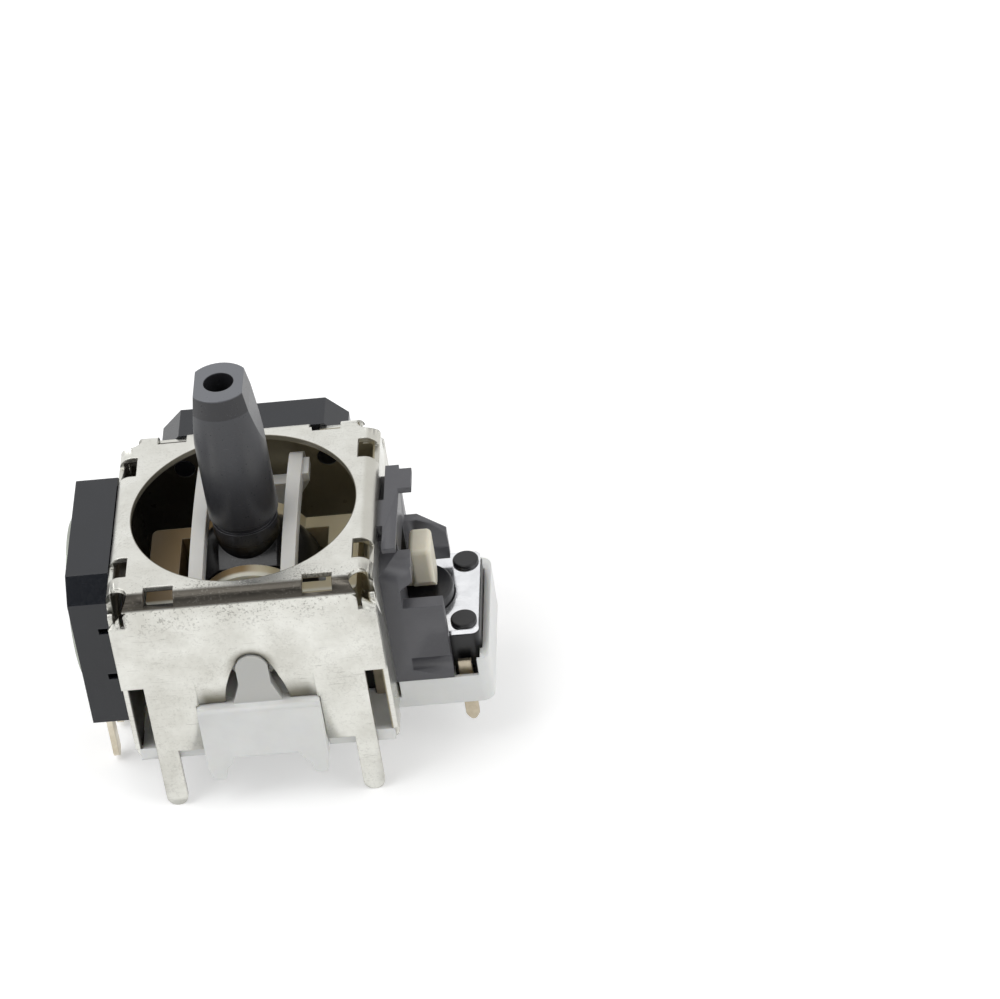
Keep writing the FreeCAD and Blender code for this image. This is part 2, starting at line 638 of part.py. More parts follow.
def make_switch_body():
    """Moulded switch case with its well and the four riveted posts."""
    half = SWITCH_SIZE / 2
    case = box(SWITCH_X - half, SWITCH_X + half, -half, half, SWITCH_BOTTOM, SWITCH_BODY_TOP)
    case = rounded(case, SWITCH_CORNER, lambda edge: is_straight(edge, Z_AXIS))
    case = case.cut(rod(V(SWITCH_X, 0, WELL_BOTTOM), Z_AXIS, WELL_RADIUS, SWITCH_BODY_TOP))
    pieces = [case]
    for sx in (-1, 1):
        for sy in (-1, 1):
            foot = V(SWITCH_X + sx * RIVET_OFFSET, sy * RIVET_OFFSET, SWITCH_BODY_TOP - SWITCH_COVER)
            pieces.append(rod(foot, Z_AXIS, RIVET_POST, SWITCH_COVER * 2))
            head = rod(V(foot.x, foot.y, SWITCH_COVER_TOP), Z_AXIS, RIVET_RADIUS, RIVET_HEAD)
            head = rounded(head, RIVET_HEAD / 2, lambda edge: middle(edge).z > RIVET_TOP - 1e-6)
            pieces.append(head)
    body = join(pieces)
    slots = []
    for x, y, side in switch_pin_places():
        reach = sorted((side * (half - SWITCH_PIN_SHEET * 2), side * half))
        slots.append(box(x - SWITCH_PIN_WIDTH / 2, x + SWITCH_PIN_WIDTH / 2, reach[0], reach[1],
                         SWITCH_PIN_Z - SWITCH_PIN_SHEET, SWITCH_PIN_Z))
    return without(body, slots)


def make_switch_cover():
    """Square metal plate riveted over the switch case."""
    half = SWITCH_SIZE / 2 - SEAT
    plate = box(SWITCH_X - half, SWITCH_X + half, -half, half, SWITCH_BODY_TOP, SWITCH_COVER_TOP)
    plate = rounded(plate, SWITCH_CORNER, lambda edge: is_straight(edge, Z_AXIS))
    holes = [rod(V(SWITCH_X + sx * RIVET_OFFSET, sy * RIVET_OFFSET, SWITCH_BODY_TOP), Z_AXIS,
                 RIVET_POST, SWITCH_COVER) for sx in (-1, 1) for sy in (-1, 1)]
    holes.append(rod(V(SWITCH_X, 0, SWITCH_BODY_TOP), Z_AXIS, BUTTON_RADIUS + RUNNING, SWITCH_COVER))
    return without(plate, holes)


def make_switch_button():
    """Round plunger with the flange that keeps it under the plate."""
    flange_top = SWITCH_BODY_TOP - RUNNING
    flange = rod(V(SWITCH_X, 0, flange_top - BUTTON_FLANGE), Z_AXIS, BUTTON_FLANGE_RADIUS, BUTTON_FLANGE)
    head = rod(V(SWITCH_X, 0, flange_top), Z_AXIS, BUTTON_RADIUS, BUTTON_TOP - flange_top)
    head = rounded(head, AIR, lambda edge: middle(edge).z > BUTTON_TOP - 1e-6)
    nub_bottom = WELL_BOTTOM + DOME_HEIGHT + DOME_SHEET + SEAT
    nub = rod(V(SWITCH_X, 0, nub_bottom), Z_AXIS, NUB_RADIUS, flange_top - BUTTON_FLANGE - nub_bottom)
    return join([flange, head, nub])


def make_switch_dome():
    """Thin domed contact spring on the floor of the switch's well."""
    sphere = (DOME_RADIUS ** 2 + DOME_HEIGHT ** 2) / (2 * DOME_HEIGHT)
    centre = V(SWITCH_X, 0, WELL_BOTTOM + DOME_HEIGHT - sphere)
    shell = Part.makeSphere(sphere + DOME_SHEET, centre).cut(Part.makeSphere(sphere, centre))
    keep = rod(V(SWITCH_X, 0, WELL_BOTTOM), Z_AXIS, DOME_RADIUS, DOME_HEIGHT * 2)
    return shell.common(keep)


def make_switch_pin(x, y, side):
    """Flat pin that leaves the case sideways and turns down through the tray."""
    half = SWITCH_PIN_WIDTH / 2
    inner = side * (SWITCH_SIZE / 2 - SWITCH_PIN_SHEET * 2)
    reach = sorted((inner, y + side * SWITCH_PIN_SHEET / 2))
    root = box(x - half, x + half, reach[0], reach[1], SWITCH_PIN_Z - SWITCH_PIN_SHEET, SWITCH_PIN_Z)
    drop = box(x - half, x + half, y - SWITCH_PIN_SHEET / 2, y + SWITCH_PIN_SHEET / 2,
               SWITCH_PIN_TIP_Z + half, SWITCH_PIN_Z)
    tip = rod(V(x, y - SWITCH_PIN_SHEET / 2, SWITCH_PIN_TIP_Z + half), Y_AXIS, half, SWITCH_PIN_SHEET)
    return join([root, drop, tip])


# Position sensors. Each is drawn at the +X side and then turned to its own side.


def pot_outline():
    """Sensor case seen along its axis, with its two cut top corners."""
    shoulder = POT_TOP - POT_CHAMFER
    return [(-POT_HALF, POT_BOTTOM), (POT_HALF, POT_BOTTOM), (POT_HALF, shoulder),
            (POT_HALF - POT_CHAMFER, POT_TOP), (POT_CHAMFER - POT_HALF, POT_TOP),
            (-POT_HALF, shoulder)]


def pin_slots():
    """Pockets for the heads of the three pins."""
    x = COVER_HALF + PIN_SET
    top = POT_BOTTOM + POT_RECESS + PIN_HEAD
    return [box(x - PIN_SHEET / 2, x + PIN_SHEET / 2, y - PIN_WIDTH / 2, y + PIN_WIDTH / 2,
                POT_BOTTOM, top) for y in (-PIN_PITCH, 0, PIN_PITCH)]


def make_pot_housing():
    """Sensor case with its round well, its pegs and the recess that the pins leave from."""
    case = prism_x(pot_outline(), COVER_HALF, POT_FACE)
    pegs = [rod(V(COVER_INNER, y, PIVOT_Z + POT_PEG_UP), X_AXIS, POT_PEG_RADIUS, SHEET)
            for y in (-POT_PEG_Y, POT_PEG_Y)]
    case = join([case] + pegs)
    tools = [rod(V(COVER_HALF + POT_FLOOR, 0, PIVOT_Z), X_AXIS, POT_WELL_RADIUS, POT_DEPTH),
             rod(V(COVER_HALF, 0, PIVOT_Z), X_AXIS, ROTOR_HUB_RADIUS + RUNNING, POT_DEPTH),
             box(POT_FACE - POT_RECESS_DEPTH, POT_FACE, -POT_RECESS_HALF, POT_RECESS_HALF,
                 POT_BOTTOM, POT_BOTTOM + POT_RECESS)]
    for z in (POT_SLOT_LOW, POT_SLOT_HIGH):
        slot = box(COVER_HALF, COVER_HALF + POT_SLOT_LENGTH, POT_HALF - POT_SLOT_DEPTH, POT_HALF,
                   z - POT_SLOT_HEIGHT / 2, z + POT_SLOT_HEIGHT / 2)
        tools += both_y(slot)
    return without(case, tools + pin_slots())


def make_pot_cap():
    """Round cover of the sensor, with a plug into the well, an axle hole and oval holes."""
    lip = rod(V(POT_FACE, 0, PIVOT_Z), X_AXIS, CAP_RADIUS, CAP_LIP)
    plug = rod(V(CAP_INNER, 0, PIVOT_Z), X_AXIS, POT_WELL_RADIUS - SEAT, CAP_PLUG)
    cap = join([lip, plug])
    tools = [rod(V(CAP_INNER, 0, PIVOT_Z), X_AXIS, ROTOR_AXLE_RADIUS + RUNNING, CAP_PLUG + CAP_LIP)]
    for i in range(CAP_HOLES):
        hole = obround_x(0, PIVOT_Z + CAP_HOLE_RING, CAP_HOLE_LENGTH / 2 - CAP_HOLE_RADIUS / 2,
                         CAP_HOLE_RADIUS, CAP_INNER, POT_FACE + CAP_LIP)
        hole.rotate(PIVOT, X_AXIS, 45 + 360 * i / CAP_HOLES)
        tools.append(hole)
    return without(cap, tools)


def make_pot_track():
    """Resistive ring on the inside of the cap, open where its two ends meet."""
    ring = rod(V(TRACK_FACE, 0, PIVOT_Z), X_AXIS, TRACK_OUTER, TRACK_SHEET)
    hole = rod(V(TRACK_FACE, 0, PIVOT_Z), X_AXIS, TRACK_INNER, TRACK_SHEET)
    gap = box(TRACK_FACE, CAP_INNER, -WIPER_ARM_WIDTH / 2, WIPER_ARM_WIDTH / 2,
              PIVOT_Z - TRACK_OUTER, PIVOT_Z)
    return without(ring, [hole, gap])


def tongue_pocket(inner_x, outer_x):
    """Rectangular pocket in a rotor's hub for the end of an arm."""
    half_y = TONGUE_HALF_WIDTH + SEAT
    half_z = TONGUE_HALF_HEIGHT + SEAT
    return box(inner_x, outer_x, -half_y, half_y, PIVOT_Z - half_z, PIVOT_Z + half_z)


def make_pot_rotor(start):
    """Turning disc with a hub into the cover from start, a pocket for the arm and an outer axle."""
    disc = rod(V(ROTOR_BACK, 0, PIVOT_Z), X_AXIS, ROTOR_RADIUS, ROTOR_DISC)
    hub = rod(V(start, 0, PIVOT_Z), X_AXIS, ROTOR_HUB_RADIUS, WIPER_BACK - start)
    axle = rod(V(WIPER_BACK, 0, PIVOT_Z), X_AXIS, ROTOR_AXLE_RADIUS, POT_FACE - WIPER_BACK + CAP_LIP)
    pocket_end = -PRESS_PIVOT_X + TONGUE_HALF_HEIGHT + RUNNING
    return join([disc, hub, axle]).cut(tongue_pocket(start, pocket_end))


def make_pot_wiper():
    """Spring contact on the rotor: a ring with one arm that reaches up to the track."""
    pad = TRACK_FACE - SEAT
    ring = rod(V(WIPER_BACK, 0, PIVOT_Z), X_AXIS, WIPER_RING, WIPER_SHEET)
    half = WIPER_ARM_WIDTH / 2
    pad_foot = (TRACK_INNER + TRACK_OUTER) / 2
    outline = [(WIPER_BACK, PIVOT_Z + ROTOR_AXLE_RADIUS), (WIPER_BACK + WIPER_SHEET, PIVOT_Z + ROTOR_AXLE_RADIUS),
               (WIPER_BACK + WIPER_SHEET, PIVOT_Z + WIPER_RING), (pad, PIVOT_Z + pad_foot),
               (pad - WIPER_SHEET, PIVOT_Z + pad_foot + WIPER_SHEET), (WIPER_BACK, PIVOT_Z + WIPER_RING)]
    arm = prism_y(outline, -half, half)
    hole = rod(V(WIPER_BACK, 0, PIVOT_Z), X_AXIS, ROTOR_AXLE_RADIUS + SEAT, POT_DEPTH)
    return join([ring, arm]).cut(hole)


def make_pot_pin(y):
    """Flat pin with a rounded tip."""
    x = COVER_HALF + PIN_SET - PIN_SHEET / 2
    tip = PIN_WIDTH / 2
    strap = box(x, x + PIN_SHEET, y - tip, y + tip, PIN_TIP_Z + tip, POT_BOTTOM + POT_RECESS + PIN_HEAD)
    end = rod(V(x, y, PIN_TIP_Z + tip), X_AXIS, tip, PIN_SHEET)
    return join([strap, end])


# Arms


def ring_tongue(inner_x):
    """Round-ended tongue that rocks in the left rotor's pocket."""
    end = rod(V(PRESS_PIVOT_X, -TONGUE_HALF_WIDTH, PIVOT_Z), Y_AXIS, TONGUE_HALF_HEIGHT,
              TONGUE_HALF_WIDTH * 2)
    bar = box(PRESS_PIVOT_X, inner_x, -TONGUE_HALF_WIDTH, TONGUE_HALF_WIDTH,
              PIVOT_Z - TONGUE_NECK_HALF, PIVOT_Z + TONGUE_NECK_HALF)
    return join([end, bar])


def arm_paddle():
    """Upright paddle over the switch, round below so that it presses alike at every lean."""
    bottom = PIVOT_Z - PADDLE_FOOT_RADIUS
    foot_z = PIVOT_Z - math.sqrt(PADDLE_FOOT_RADIUS ** 2 - PADDLE_FOOT_HALF ** 2)
    side_z = PIVOT_Z + PADDLE_SIDE_Z
    top = PIVOT_Z + PADDLE_TOP

    def at(y, z):
        return V(PADDLE_INNER_X, y, z)

    outline = Part.Wire([
        Part.makeLine(at(PADDLE_HALF_Y, top), at(PADDLE_HALF_Y, side_z)),
        Part.makeLine(at(PADDLE_HALF_Y, side_z), at(PADDLE_FOOT_HALF, foot_z)),
        Part.Arc(at(PADDLE_FOOT_HALF, foot_z), at(0, bottom), at(-PADDLE_FOOT_HALF, foot_z)).toShape(),
        Part.makeLine(at(-PADDLE_FOOT_HALF, foot_z), at(-PADDLE_HALF_Y, side_z)),
        Part.makeLine(at(-PADDLE_HALF_Y, side_z), at(-PADDLE_HALF_Y, top)),
        Part.makeLine(at(-PADDLE_HALF_Y, top), at(PADDLE_HALF_Y, top))])
    paddle = Part.Face(outline).extrude(V(PADDLE_OUTER_X - PADDLE_INNER_X, 0, 0))
    paddle = rounded(paddle, PADDLE_EDGE, lambda edge: middle(edge).z > top - 1e-6
                     or (is_straight(edge, Z_AXIS) and middle(edge).z > side_z))
    return paddle


def arm_end():
    """High end block of the lower arm, crowned about the axis that the arm turns on."""
    wall = box(ARM_END_INNER, ARM_HALF_X, -ARM_HALF_Y, ARM_HALF_Y, PIVOT_Z, PIVOT_Z + ARM_END_TOP)
    crown = rod(V(0, 0, PIVOT_Z), X_AXIS, ARM_END_CROWN, ARM_HALF_X)
    wall = wall.common(crown)
    return rounded(wall, ARM_EDGE, lambda edge: middle(edge).x > ARM_HALF_X - 1e-6
                   and middle(edge).z > PIVOT_Z + ARM_EDGE * 2)


def make_lower_arm():
    """Ring around the lever's hub, with bearing ears, a tongue and a paddle."""
    ring = box(-ARM_HALF_X, ARM_HALF_X, -ARM_HALF_Y, ARM_HALF_Y, PIVOT_Z + ARM_BOTTOM,
               PIVOT_Z + ARM_SIDE_TOP)
    ring = rounded(ring, ARM_EDGE, lambda edge: is_straight(edge, Z_AXIS)
                   or middle(edge).z < PIVOT_Z + ARM_BOTTOM + 1e-6)
    ears = rod(V(0, -ARM_HALF_Y, PIVOT_Z), Y_AXIS, EAR_RADIUS, ARM_HALF_Y * 2)
    ears = ears.common(box(-EAR_RADIUS, EAR_RADIUS, -ARM_HALF_Y, ARM_HALF_Y,
                           PIVOT_Z, PIVOT_Z + EAR_RADIUS))
    ends = both_x(arm_end())
    pocket_x = HUB_SPHERE + AIR
    pocket_y = HUB_HALF_Y + AIR
    pocket = box(-pocket_x, pocket_x, -pocket_y, pocket_y, PIVOT_Z + ARM_BOTTOM,
                 PIVOT_Z + ARM_END_TOP)
    bearing = rod(V(0, -ARM_HALF_Y, PIVOT_Z), Y_AXIS, TRUNNION_RADIUS + RUNNING, ARM_HALF_Y * 2)
    over_switch = box(SWITCH_X - SWITCH_CLEAR_HALF, ARM_HALF_X, -ARM_HALF_Y, ARM_HALF_Y,
                      PIVOT_Z + ARM_BOTTOM, PIVOT_Z)
    boss = rod(V(SWITCH_X - SWITCH_CLEAR_HALF - ARM_EDGE, 0, PIVOT_Z), X_AXIS, ARM_BOSS_RADIUS,
               ARM_HALF_X + ARM_EDGE + SWITCH_CLEAR_HALF - SWITCH_X)
    frame = without(join([ring, ears] + ends), [pocket, bearing, over_switch])
    neck = rod(V(ARM_HALF_X - ARM_EDGE, 0, PIVOT_Z), X_AXIS, ARM_NECK_RADIUS,
               PADDLE_OUTER_X - ARM_HALF_X - ARM_EDGE)
    return join([frame, ring_tongue(-ARM_HALF_X + ARM_EDGE), boss, neck, arm_paddle()])


def arch_leg():
    """Leg of the arch at the +Y end, narrowing to the round foot on the tilt axis."""
    foot = rod(V(0, ARCH_LEG_INNER, PIVOT_Z), Y_AXIS, ARCH_FOOT_RADIUS, ARCH_LEG_OUTER - ARCH_LEG_INNER)
    plate = prism_y([(-ARCH_FOOT_RADIUS, PIVOT_Z), (ARCH_FOOT_RADIUS, PIVOT_Z),
                     (RAIL_OUTER, PIVOT_Z + ARCH_UNDERSIDE), (RAIL_OUTER, PIVOT_Z + ARCH_TOP),
                     (-RAIL_OUTER, PIVOT_Z + ARCH_TOP), (-RAIL_OUTER, PIVOT_Z + ARCH_UNDERSIDE)],
                    ARCH_LEG_INNER, ARCH_LEG_OUTER)
    return join([foot, plate])


def make_upper_arm():
    """Arch with the slot that the lever stands in, a front axle and a rear tongue."""
    top = box(-RAIL_OUTER, RAIL_OUTER, -ARCH_LEG_OUTER, ARCH_LEG_OUTER, PIVOT_Z + ARCH_UNDERSIDE,
              PIVOT_Z + ARCH_TOP)
    arch = join([top] + both_y(arch_leg()))
    over = ARCH_TOP + SHEET
    bevel = prism_x([(ARCH_SHOULDER_Y, PIVOT_Z + ARCH_TOP), (ARCH_LEG_OUTER + SHEET, PIVOT_Z + over),
                     (ARCH_LEG_OUTER + SHEET, PIVOT_Z + ARCH_SHOULDER_Z),
                     (ARCH_LEG_OUTER, PIVOT_Z + ARCH_SHOULDER_Z)], -RAIL_OUTER, RAIL_OUTER)
    slot_straight = SLOT_END - SLOT_HALF
    slot = join([box(-SLOT_HALF, SLOT_HALF, -slot_straight, slot_straight, PIVOT_Z + ARCH_UNDERSIDE,
                     PIVOT_Z + ARCH_TOP)]
                + [rod(V(0, y, PIVOT_Z + ARCH_UNDERSIDE), Z_AXIS, SLOT_HALF, ARCH_TOP - ARCH_UNDERSIDE)
                   for y in (-slot_straight, slot_straight)])
    arch = without(arch, both_y(bevel) + [slot])
    arch = rounded(arch, ARCH_EDGE, lambda edge: is_straight(edge, Y_AXIS)
                   and middle(edge).z > PIVOT_Z + ARCH_TOP - 1e-6)
    axle_end = COVER_HALF + ARCH_AXLE_PROUD
    axle = rod(V(0, -axle_end, PIVOT_Z), Y_AXIS, ARCH_AXLE_RADIUS, axle_end - ARCH_LEG_INNER)
    tongue_end = -PRESS_PIVOT_X + TONGUE_HALF_HEIGHT
    tongue = box(-TONGUE_HALF_WIDTH, TONGUE_HALF_WIDTH, ARCH_LEG_INNER, tongue_end,
                 PIVOT_Z - TONGUE_HALF_HEIGHT, PIVOT_Z + TONGUE_HALF_HEIGHT)
    return join([arch, axle, tongue])


# Lever, disc and spring


def lever_shaft():
    """Turned shape of the stick above the arch: collar, groove, shaft and tapered tip."""
    at = PIVOT_Z
    tip_foot = SHAFT_TOP - TIP_HEIGHT
    profile = [(0, at + COLLAR_BOTTOM - AIR * 5), (NECK_RADIUS, at + COLLAR_BOTTOM - AIR * 5),
               (NECK_RADIUS, at + COLLAR_BOTTOM), (COLLAR_RADIUS, at + COLLAR_BOTTOM),
               (COLLAR_RADIUS, at + COLLAR_TOP), (GROOVE_RADIUS, at + COLLAR_TOP),
               (GROOVE_RADIUS, at + SHAFT_FOOT), (SHAFT_RADIUS, at + SHAFT_FOOT),
               (SHAFT_RADIUS, tip_foot), (TIP_RADIUS, SHAFT_TOP), (0, SHAFT_TOP)]
    outline = face_of(profile, lambda r, z: V(r, 0, z))
    return outline.revolve(V(0, 0, 0), Z_AXIS, 360)


def lever_hub():
    """Barrel in the lower arm's pocket, crowned about the X axis, with a rounded foot."""
    barrel = Part.makeSphere(HUB_SPHERE, PIVOT)
    barrel = barrel.common(rod(V(-HUB_HALF_X, 0, PIVOT_Z), X_AXIS, HUB_CROWN, HUB_HALF_X * 2))
    barrel = barrel.common(box(-HUB_HALF_X, HUB_HALF_X, -HUB_HALF_Y, HUB_HALF_Y,
                               PIVOT_Z + HUB_BOTTOM, PIVOT_Z + HUB_CROWN))
    foot = Part.makeSphere(FOOT_SPHERE, PIVOT)
    foot = foot.common(box(-FOOT_SPHERE, FOOT_SPHERE, -HUB_HALF_Y, HUB_HALF_Y,
                           PIVOT_Z + FOOT_FLAT_Z, PIVOT_Z))
    trunnion = rod(V(0, -TRUNNION_REACH, PIVOT_Z), Y_AXIS, TRUNNION_RADIUS, TRUNNION_REACH * 2)
    core = rod(V(0, 0, PIVOT_Z), Z_AXIS, NECK_RADIUS, COLLAR_BOTTOM)
    return join([barrel, foot, trunnion, core])


def make_lever():
    """Stick with its hub, trunnions, flats for a thumb cap and a blind bore in the tip."""
    stick = join([lever_shaft(), lever_hub()])
    flat_foot = SHAFT_TOP - FLAT_LENGTH
    beyond = SHAFT_RADIUS + AIR
    flat = prism_y([(FLAT_HALF_TOP, SHAFT_TOP), (SHAFT_RADIUS, flat_foot), (beyond, flat_foot),
                    (beyond, SHAFT_TOP + AIR), (FLAT_HALF_TOP, SHAFT_TOP + AIR)], -beyond, beyond)
    bore = rod(V(0, 0, SHAFT_TOP - LEVER_BORE_DEPTH), Z_AXIS, LEVER_BORE_RADIUS, LEVER_BORE_DEPTH)
    return without(stick, both_x(flat) + [bore])


def make_return_disc():
    """Sprung disc under the lever, guided by a sleeve on the base's post."""
    flange = rod(V(0, 0, DISC_TOP - DISC_THICKNESS), Z_AXIS, DISC_RADIUS, DISC_THICKNESS)
    sleeve = rod(V(0, 0, SLEEVE_BOTTOM), Z_AXIS, SLEEVE_RADIUS, DISC_TOP - SLEEVE_BOTTOM)
    bore = rod(V(0, 0, SLEEVE_BOTTOM), Z_AXIS, POST_RADIUS + RUNNING,
               DISC_TOP - DISC_THICKNESS / 2 - SLEEVE_BOTTOM)
    return join([flange, sleeve]).cut(bore)


def make_return_spring():
    """Coil between the base and the return disc."""
    low = BASE_TOP + SPRING_WIRE
    high = DISC_TOP - DISC_THICKNESS - SPRING_WIRE
    pitch = (high - low) / SPRING_TURNS
    helix = Part.makeHelix(pitch, high - low, SPRING_RADIUS)
    helix.translate(V(0, 0, low))
    section = Part.Wire(Part.makeCircle(SPRING_WIRE, V(SPRING_RADIUS, 0, low), Y_AXIS))
    return Part.Wire(helix).makePipeShell([section], True, True)


# Holder


def make_side_holder():
    """Bracket on the switch side: plate, top strip with a hook, block and two cheeks."""
    plate = prism_x([(-HOLDER_FRONT, TRAY_RIM), (-SWITCH_CLEAR_HALF, TRAY_RIM),
                     (-SWITCH_CLEAR_HALF, SWITCH_CLEAR_TOP), (HOLDER_BACK, SWITCH_CLEAR_TOP),
                     (HOLDER_BACK, HOLDER_TOP), (-HOLDER_BLOCK_BACK, HOLDER_TOP),
                     (-HOLDER_BLOCK_BACK, HOLDER_BLOCK_TOP), (-HOLDER_FRONT, HOLDER_BLOCK_TOP)],
                    COVER_HALF, HOLDER_OUTER_X)
    strip = box(COVER_HALF, HOLDER_STRIP_X, -HOLDER_STRIP_FRONT, HOLDER_BACK,
                HOLDER_TOP - HOLDER_STRIP, HOLDER_TOP)
    hook = box(COVER_HALF, HOOK_OUTER_X, HOOK_FRONT, HOOK_BACK, HOLDER_TOP - HOLDER_STRIP, HOLDER_TOP)
    bevel = HOLDER_BLOCK_X - HOLDER_OUTER_X
    block = prism_z([(COVER_HALF, -HOLDER_FRONT), (HOLDER_OUTER_X, -HOLDER_FRONT),
                     (HOLDER_BLOCK_X, -HOLDER_FRONT + bevel), (HOLDER_BLOCK_X, -HOLDER_BLOCK_BACK),
                     (COVER_HALF, -HOLDER_BLOCK_BACK)],
                    HOLDER_BLOCK_TOP - HOLDER_BLOCK_DEPTH, HOLDER_BLOCK_TOP)
    back = CHEEK_THICKNESS - HOLDER_FRONT
    cheek = box(COVER_HALF, CHEEK_OUTER_X, -HOLDER_FRONT, back, TRAY_RIM, CHEEK_TOP)
    cheek = cheek.cut(box(HOLDER_OUTER_X, CHEEK_OUTER_X, -HOLDER_FRONT, CHEEK_BAND_DEPTH - HOLDER_FRONT,
                          CHEEK_BAND_BOTTOM, CHEEK_BAND_TOP))
    rear = prism_y([(COVER_HALF, REAR_CHEEK_BOTTOM), (CHEEK_OUTER_X, REAR_CHEEK_BOTTOM),
                    (CHEEK_OUTER_X, REAR_CHEEK_EDGE_TOP), (HOLDER_BLOCK_X, REAR_CHEEK_TOP),
                    (COVER_HALF, REAR_CHEEK_TOP)], REAR_CHEEK_Y, REAR_CHEEK_Y + REAR_CHEEK_THICKNESS)
    peg = rod(V(COVER_INNER, HOLDER_PEG_Y, HOLDER_PEG_Z), X_AXIS, HOLDER_PEG_RADIUS, SHEET + AIR)
    solid = join([plate, strip, hook, block, cheek, rear, peg])
    slot_top = PIVOT_Z + PADDLE_TOP + AIR
    slot = box(COVER_HALF, HOLDER_OUTER_X, -HOLDER_SLOT_HALF, HOLDER_SLOT_HALF, SWITCH_CLEAR_TOP, slot_top)
    return without(solid, [slot, button_clearance()])


def make_all():
    """Every piece of the module, by the name of its node."""
    pieces = {
        "base": make_base(),
        "frame_cover": make_frame_cover(),
        "side_holder": make_side_holder(),
        "switch_body": make_switch_body(),
        "switch_cover": make_switch_cover(),
        "switch_button": make_switch_button(),
        "switch_dome": make_switch_dome(),
        "lower_arm": make_lower_arm(),
        "upper_arm": make_upper_arm(),
        "lever": make_lever(),
        "return_disc": make_return_disc(),
        "return_spring": make_return_spring(),
    }
    for number, (x, y, side) in enumerate(switch_pin_places(), start=1):
        pieces[f"switch_pin_{number}"] = make_switch_pin(x, y, side)
    for name, angle, arm_end_at in (("left", 180, ARM_HALF_X), ("back", 90, ARCH_LEG_OUTER)):
        pieces[f"{name}_pot_housing"] = turned(make_pot_housing(), angle)
        pieces[f"{name}_pot_cap"] = turned(make_pot_cap(), angle)
        pieces[f"{name}_pot_track"] = turned(make_pot_track(), angle)
        pieces[f"{name}_pot_rotor"] = turned(make_pot_rotor(arm_end_at + RUNNING), angle)
        pieces[f"{name}_pot_wiper"] = turned(make_pot_wiper(), angle)
        for number, y in enumerate((-PIN_PITCH, 0, PIN_PITCH), start=1):
            pieces[f"{name}_pot_pin_{number}"] = turned(make_pot_pin(y), angle)
    return pieces


os.makedirs("parts", exist_ok=True)
for node, solid in make_all().items():
    solid.exportStep(f"parts/{node}.step")
    print(node, len(solid.Solids), solid.isValid(), round(solid.Volume, 3), flush=True)
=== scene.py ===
"""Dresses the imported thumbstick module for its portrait: finishes, light, floor and camera.

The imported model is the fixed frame. Each sub-assembly is a class that knows its own nodes, adds the
small pieces that the model leaves out and gives every visible surface a procedural finish.
"""

import json
import logging
import math
from dataclasses import dataclass, field
from enum import Enum

import bpy
from mathutils import Matrix, Vector

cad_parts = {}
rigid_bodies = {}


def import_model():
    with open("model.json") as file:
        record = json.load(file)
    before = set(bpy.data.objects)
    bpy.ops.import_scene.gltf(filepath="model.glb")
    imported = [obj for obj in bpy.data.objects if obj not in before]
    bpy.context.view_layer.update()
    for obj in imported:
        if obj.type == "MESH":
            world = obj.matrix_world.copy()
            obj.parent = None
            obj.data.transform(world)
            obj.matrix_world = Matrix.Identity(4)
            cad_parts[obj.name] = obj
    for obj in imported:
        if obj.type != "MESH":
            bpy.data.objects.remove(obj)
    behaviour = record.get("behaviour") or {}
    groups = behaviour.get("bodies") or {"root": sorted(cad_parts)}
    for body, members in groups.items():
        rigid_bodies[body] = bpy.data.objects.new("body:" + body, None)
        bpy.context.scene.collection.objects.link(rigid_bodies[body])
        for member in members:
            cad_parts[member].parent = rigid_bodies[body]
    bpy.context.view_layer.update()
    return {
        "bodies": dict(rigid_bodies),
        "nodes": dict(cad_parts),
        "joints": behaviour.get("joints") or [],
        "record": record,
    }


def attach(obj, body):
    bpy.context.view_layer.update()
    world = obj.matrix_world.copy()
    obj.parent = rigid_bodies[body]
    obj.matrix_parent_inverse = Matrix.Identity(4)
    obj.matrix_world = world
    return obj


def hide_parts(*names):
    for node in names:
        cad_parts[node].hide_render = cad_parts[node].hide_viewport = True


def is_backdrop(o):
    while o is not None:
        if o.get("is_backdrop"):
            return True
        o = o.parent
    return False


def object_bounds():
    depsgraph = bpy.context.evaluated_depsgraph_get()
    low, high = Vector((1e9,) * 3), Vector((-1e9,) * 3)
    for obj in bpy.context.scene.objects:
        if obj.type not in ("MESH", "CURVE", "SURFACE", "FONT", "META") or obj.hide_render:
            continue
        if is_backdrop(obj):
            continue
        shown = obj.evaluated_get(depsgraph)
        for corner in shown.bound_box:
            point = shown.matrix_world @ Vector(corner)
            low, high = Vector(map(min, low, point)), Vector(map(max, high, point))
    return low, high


LOG = logging.getLogger("thumbstick")
MM = 0.001
Colour = tuple[float, float, float]
Span = tuple[float, float]
Point = tuple[float, float]
Outline = list[Point]
Material = bpy.types.Material
Node = bpy.types.Node
Socket = bpy.types.NodeSocket
Solid = bpy.types.Object
Tree = bpy.types.NodeTree
Group = tuple[Tree, "Wiring", Node, Node]


class Axis(Enum):
    """One of the three directions of the module."""

    X = 0
    Y = 1
    Z = 2


class Side(Enum):
    """Where a position sensor stands on the module."""

    LEFT = "left"
    BACK = "back"


class Joining(Enum):
    """How one solid changes another."""

    FUSE = "UNION"
    CUT = "DIFFERENCE"
    KEEP = "INTERSECT"


def linear(level: float) -> float:
    """Linear value of a display level from 0 to 255."""
    share = level / 255.0
    return share / 12.92 if share <= 0.04045 else ((share + 0.055) / 1.055) ** 2.4


def tone(red: float, green: float, blue: float) -> Colour:
    """Linear colour of three display levels from 0 to 255."""
    return linear(red), linear(green), linear(blue)


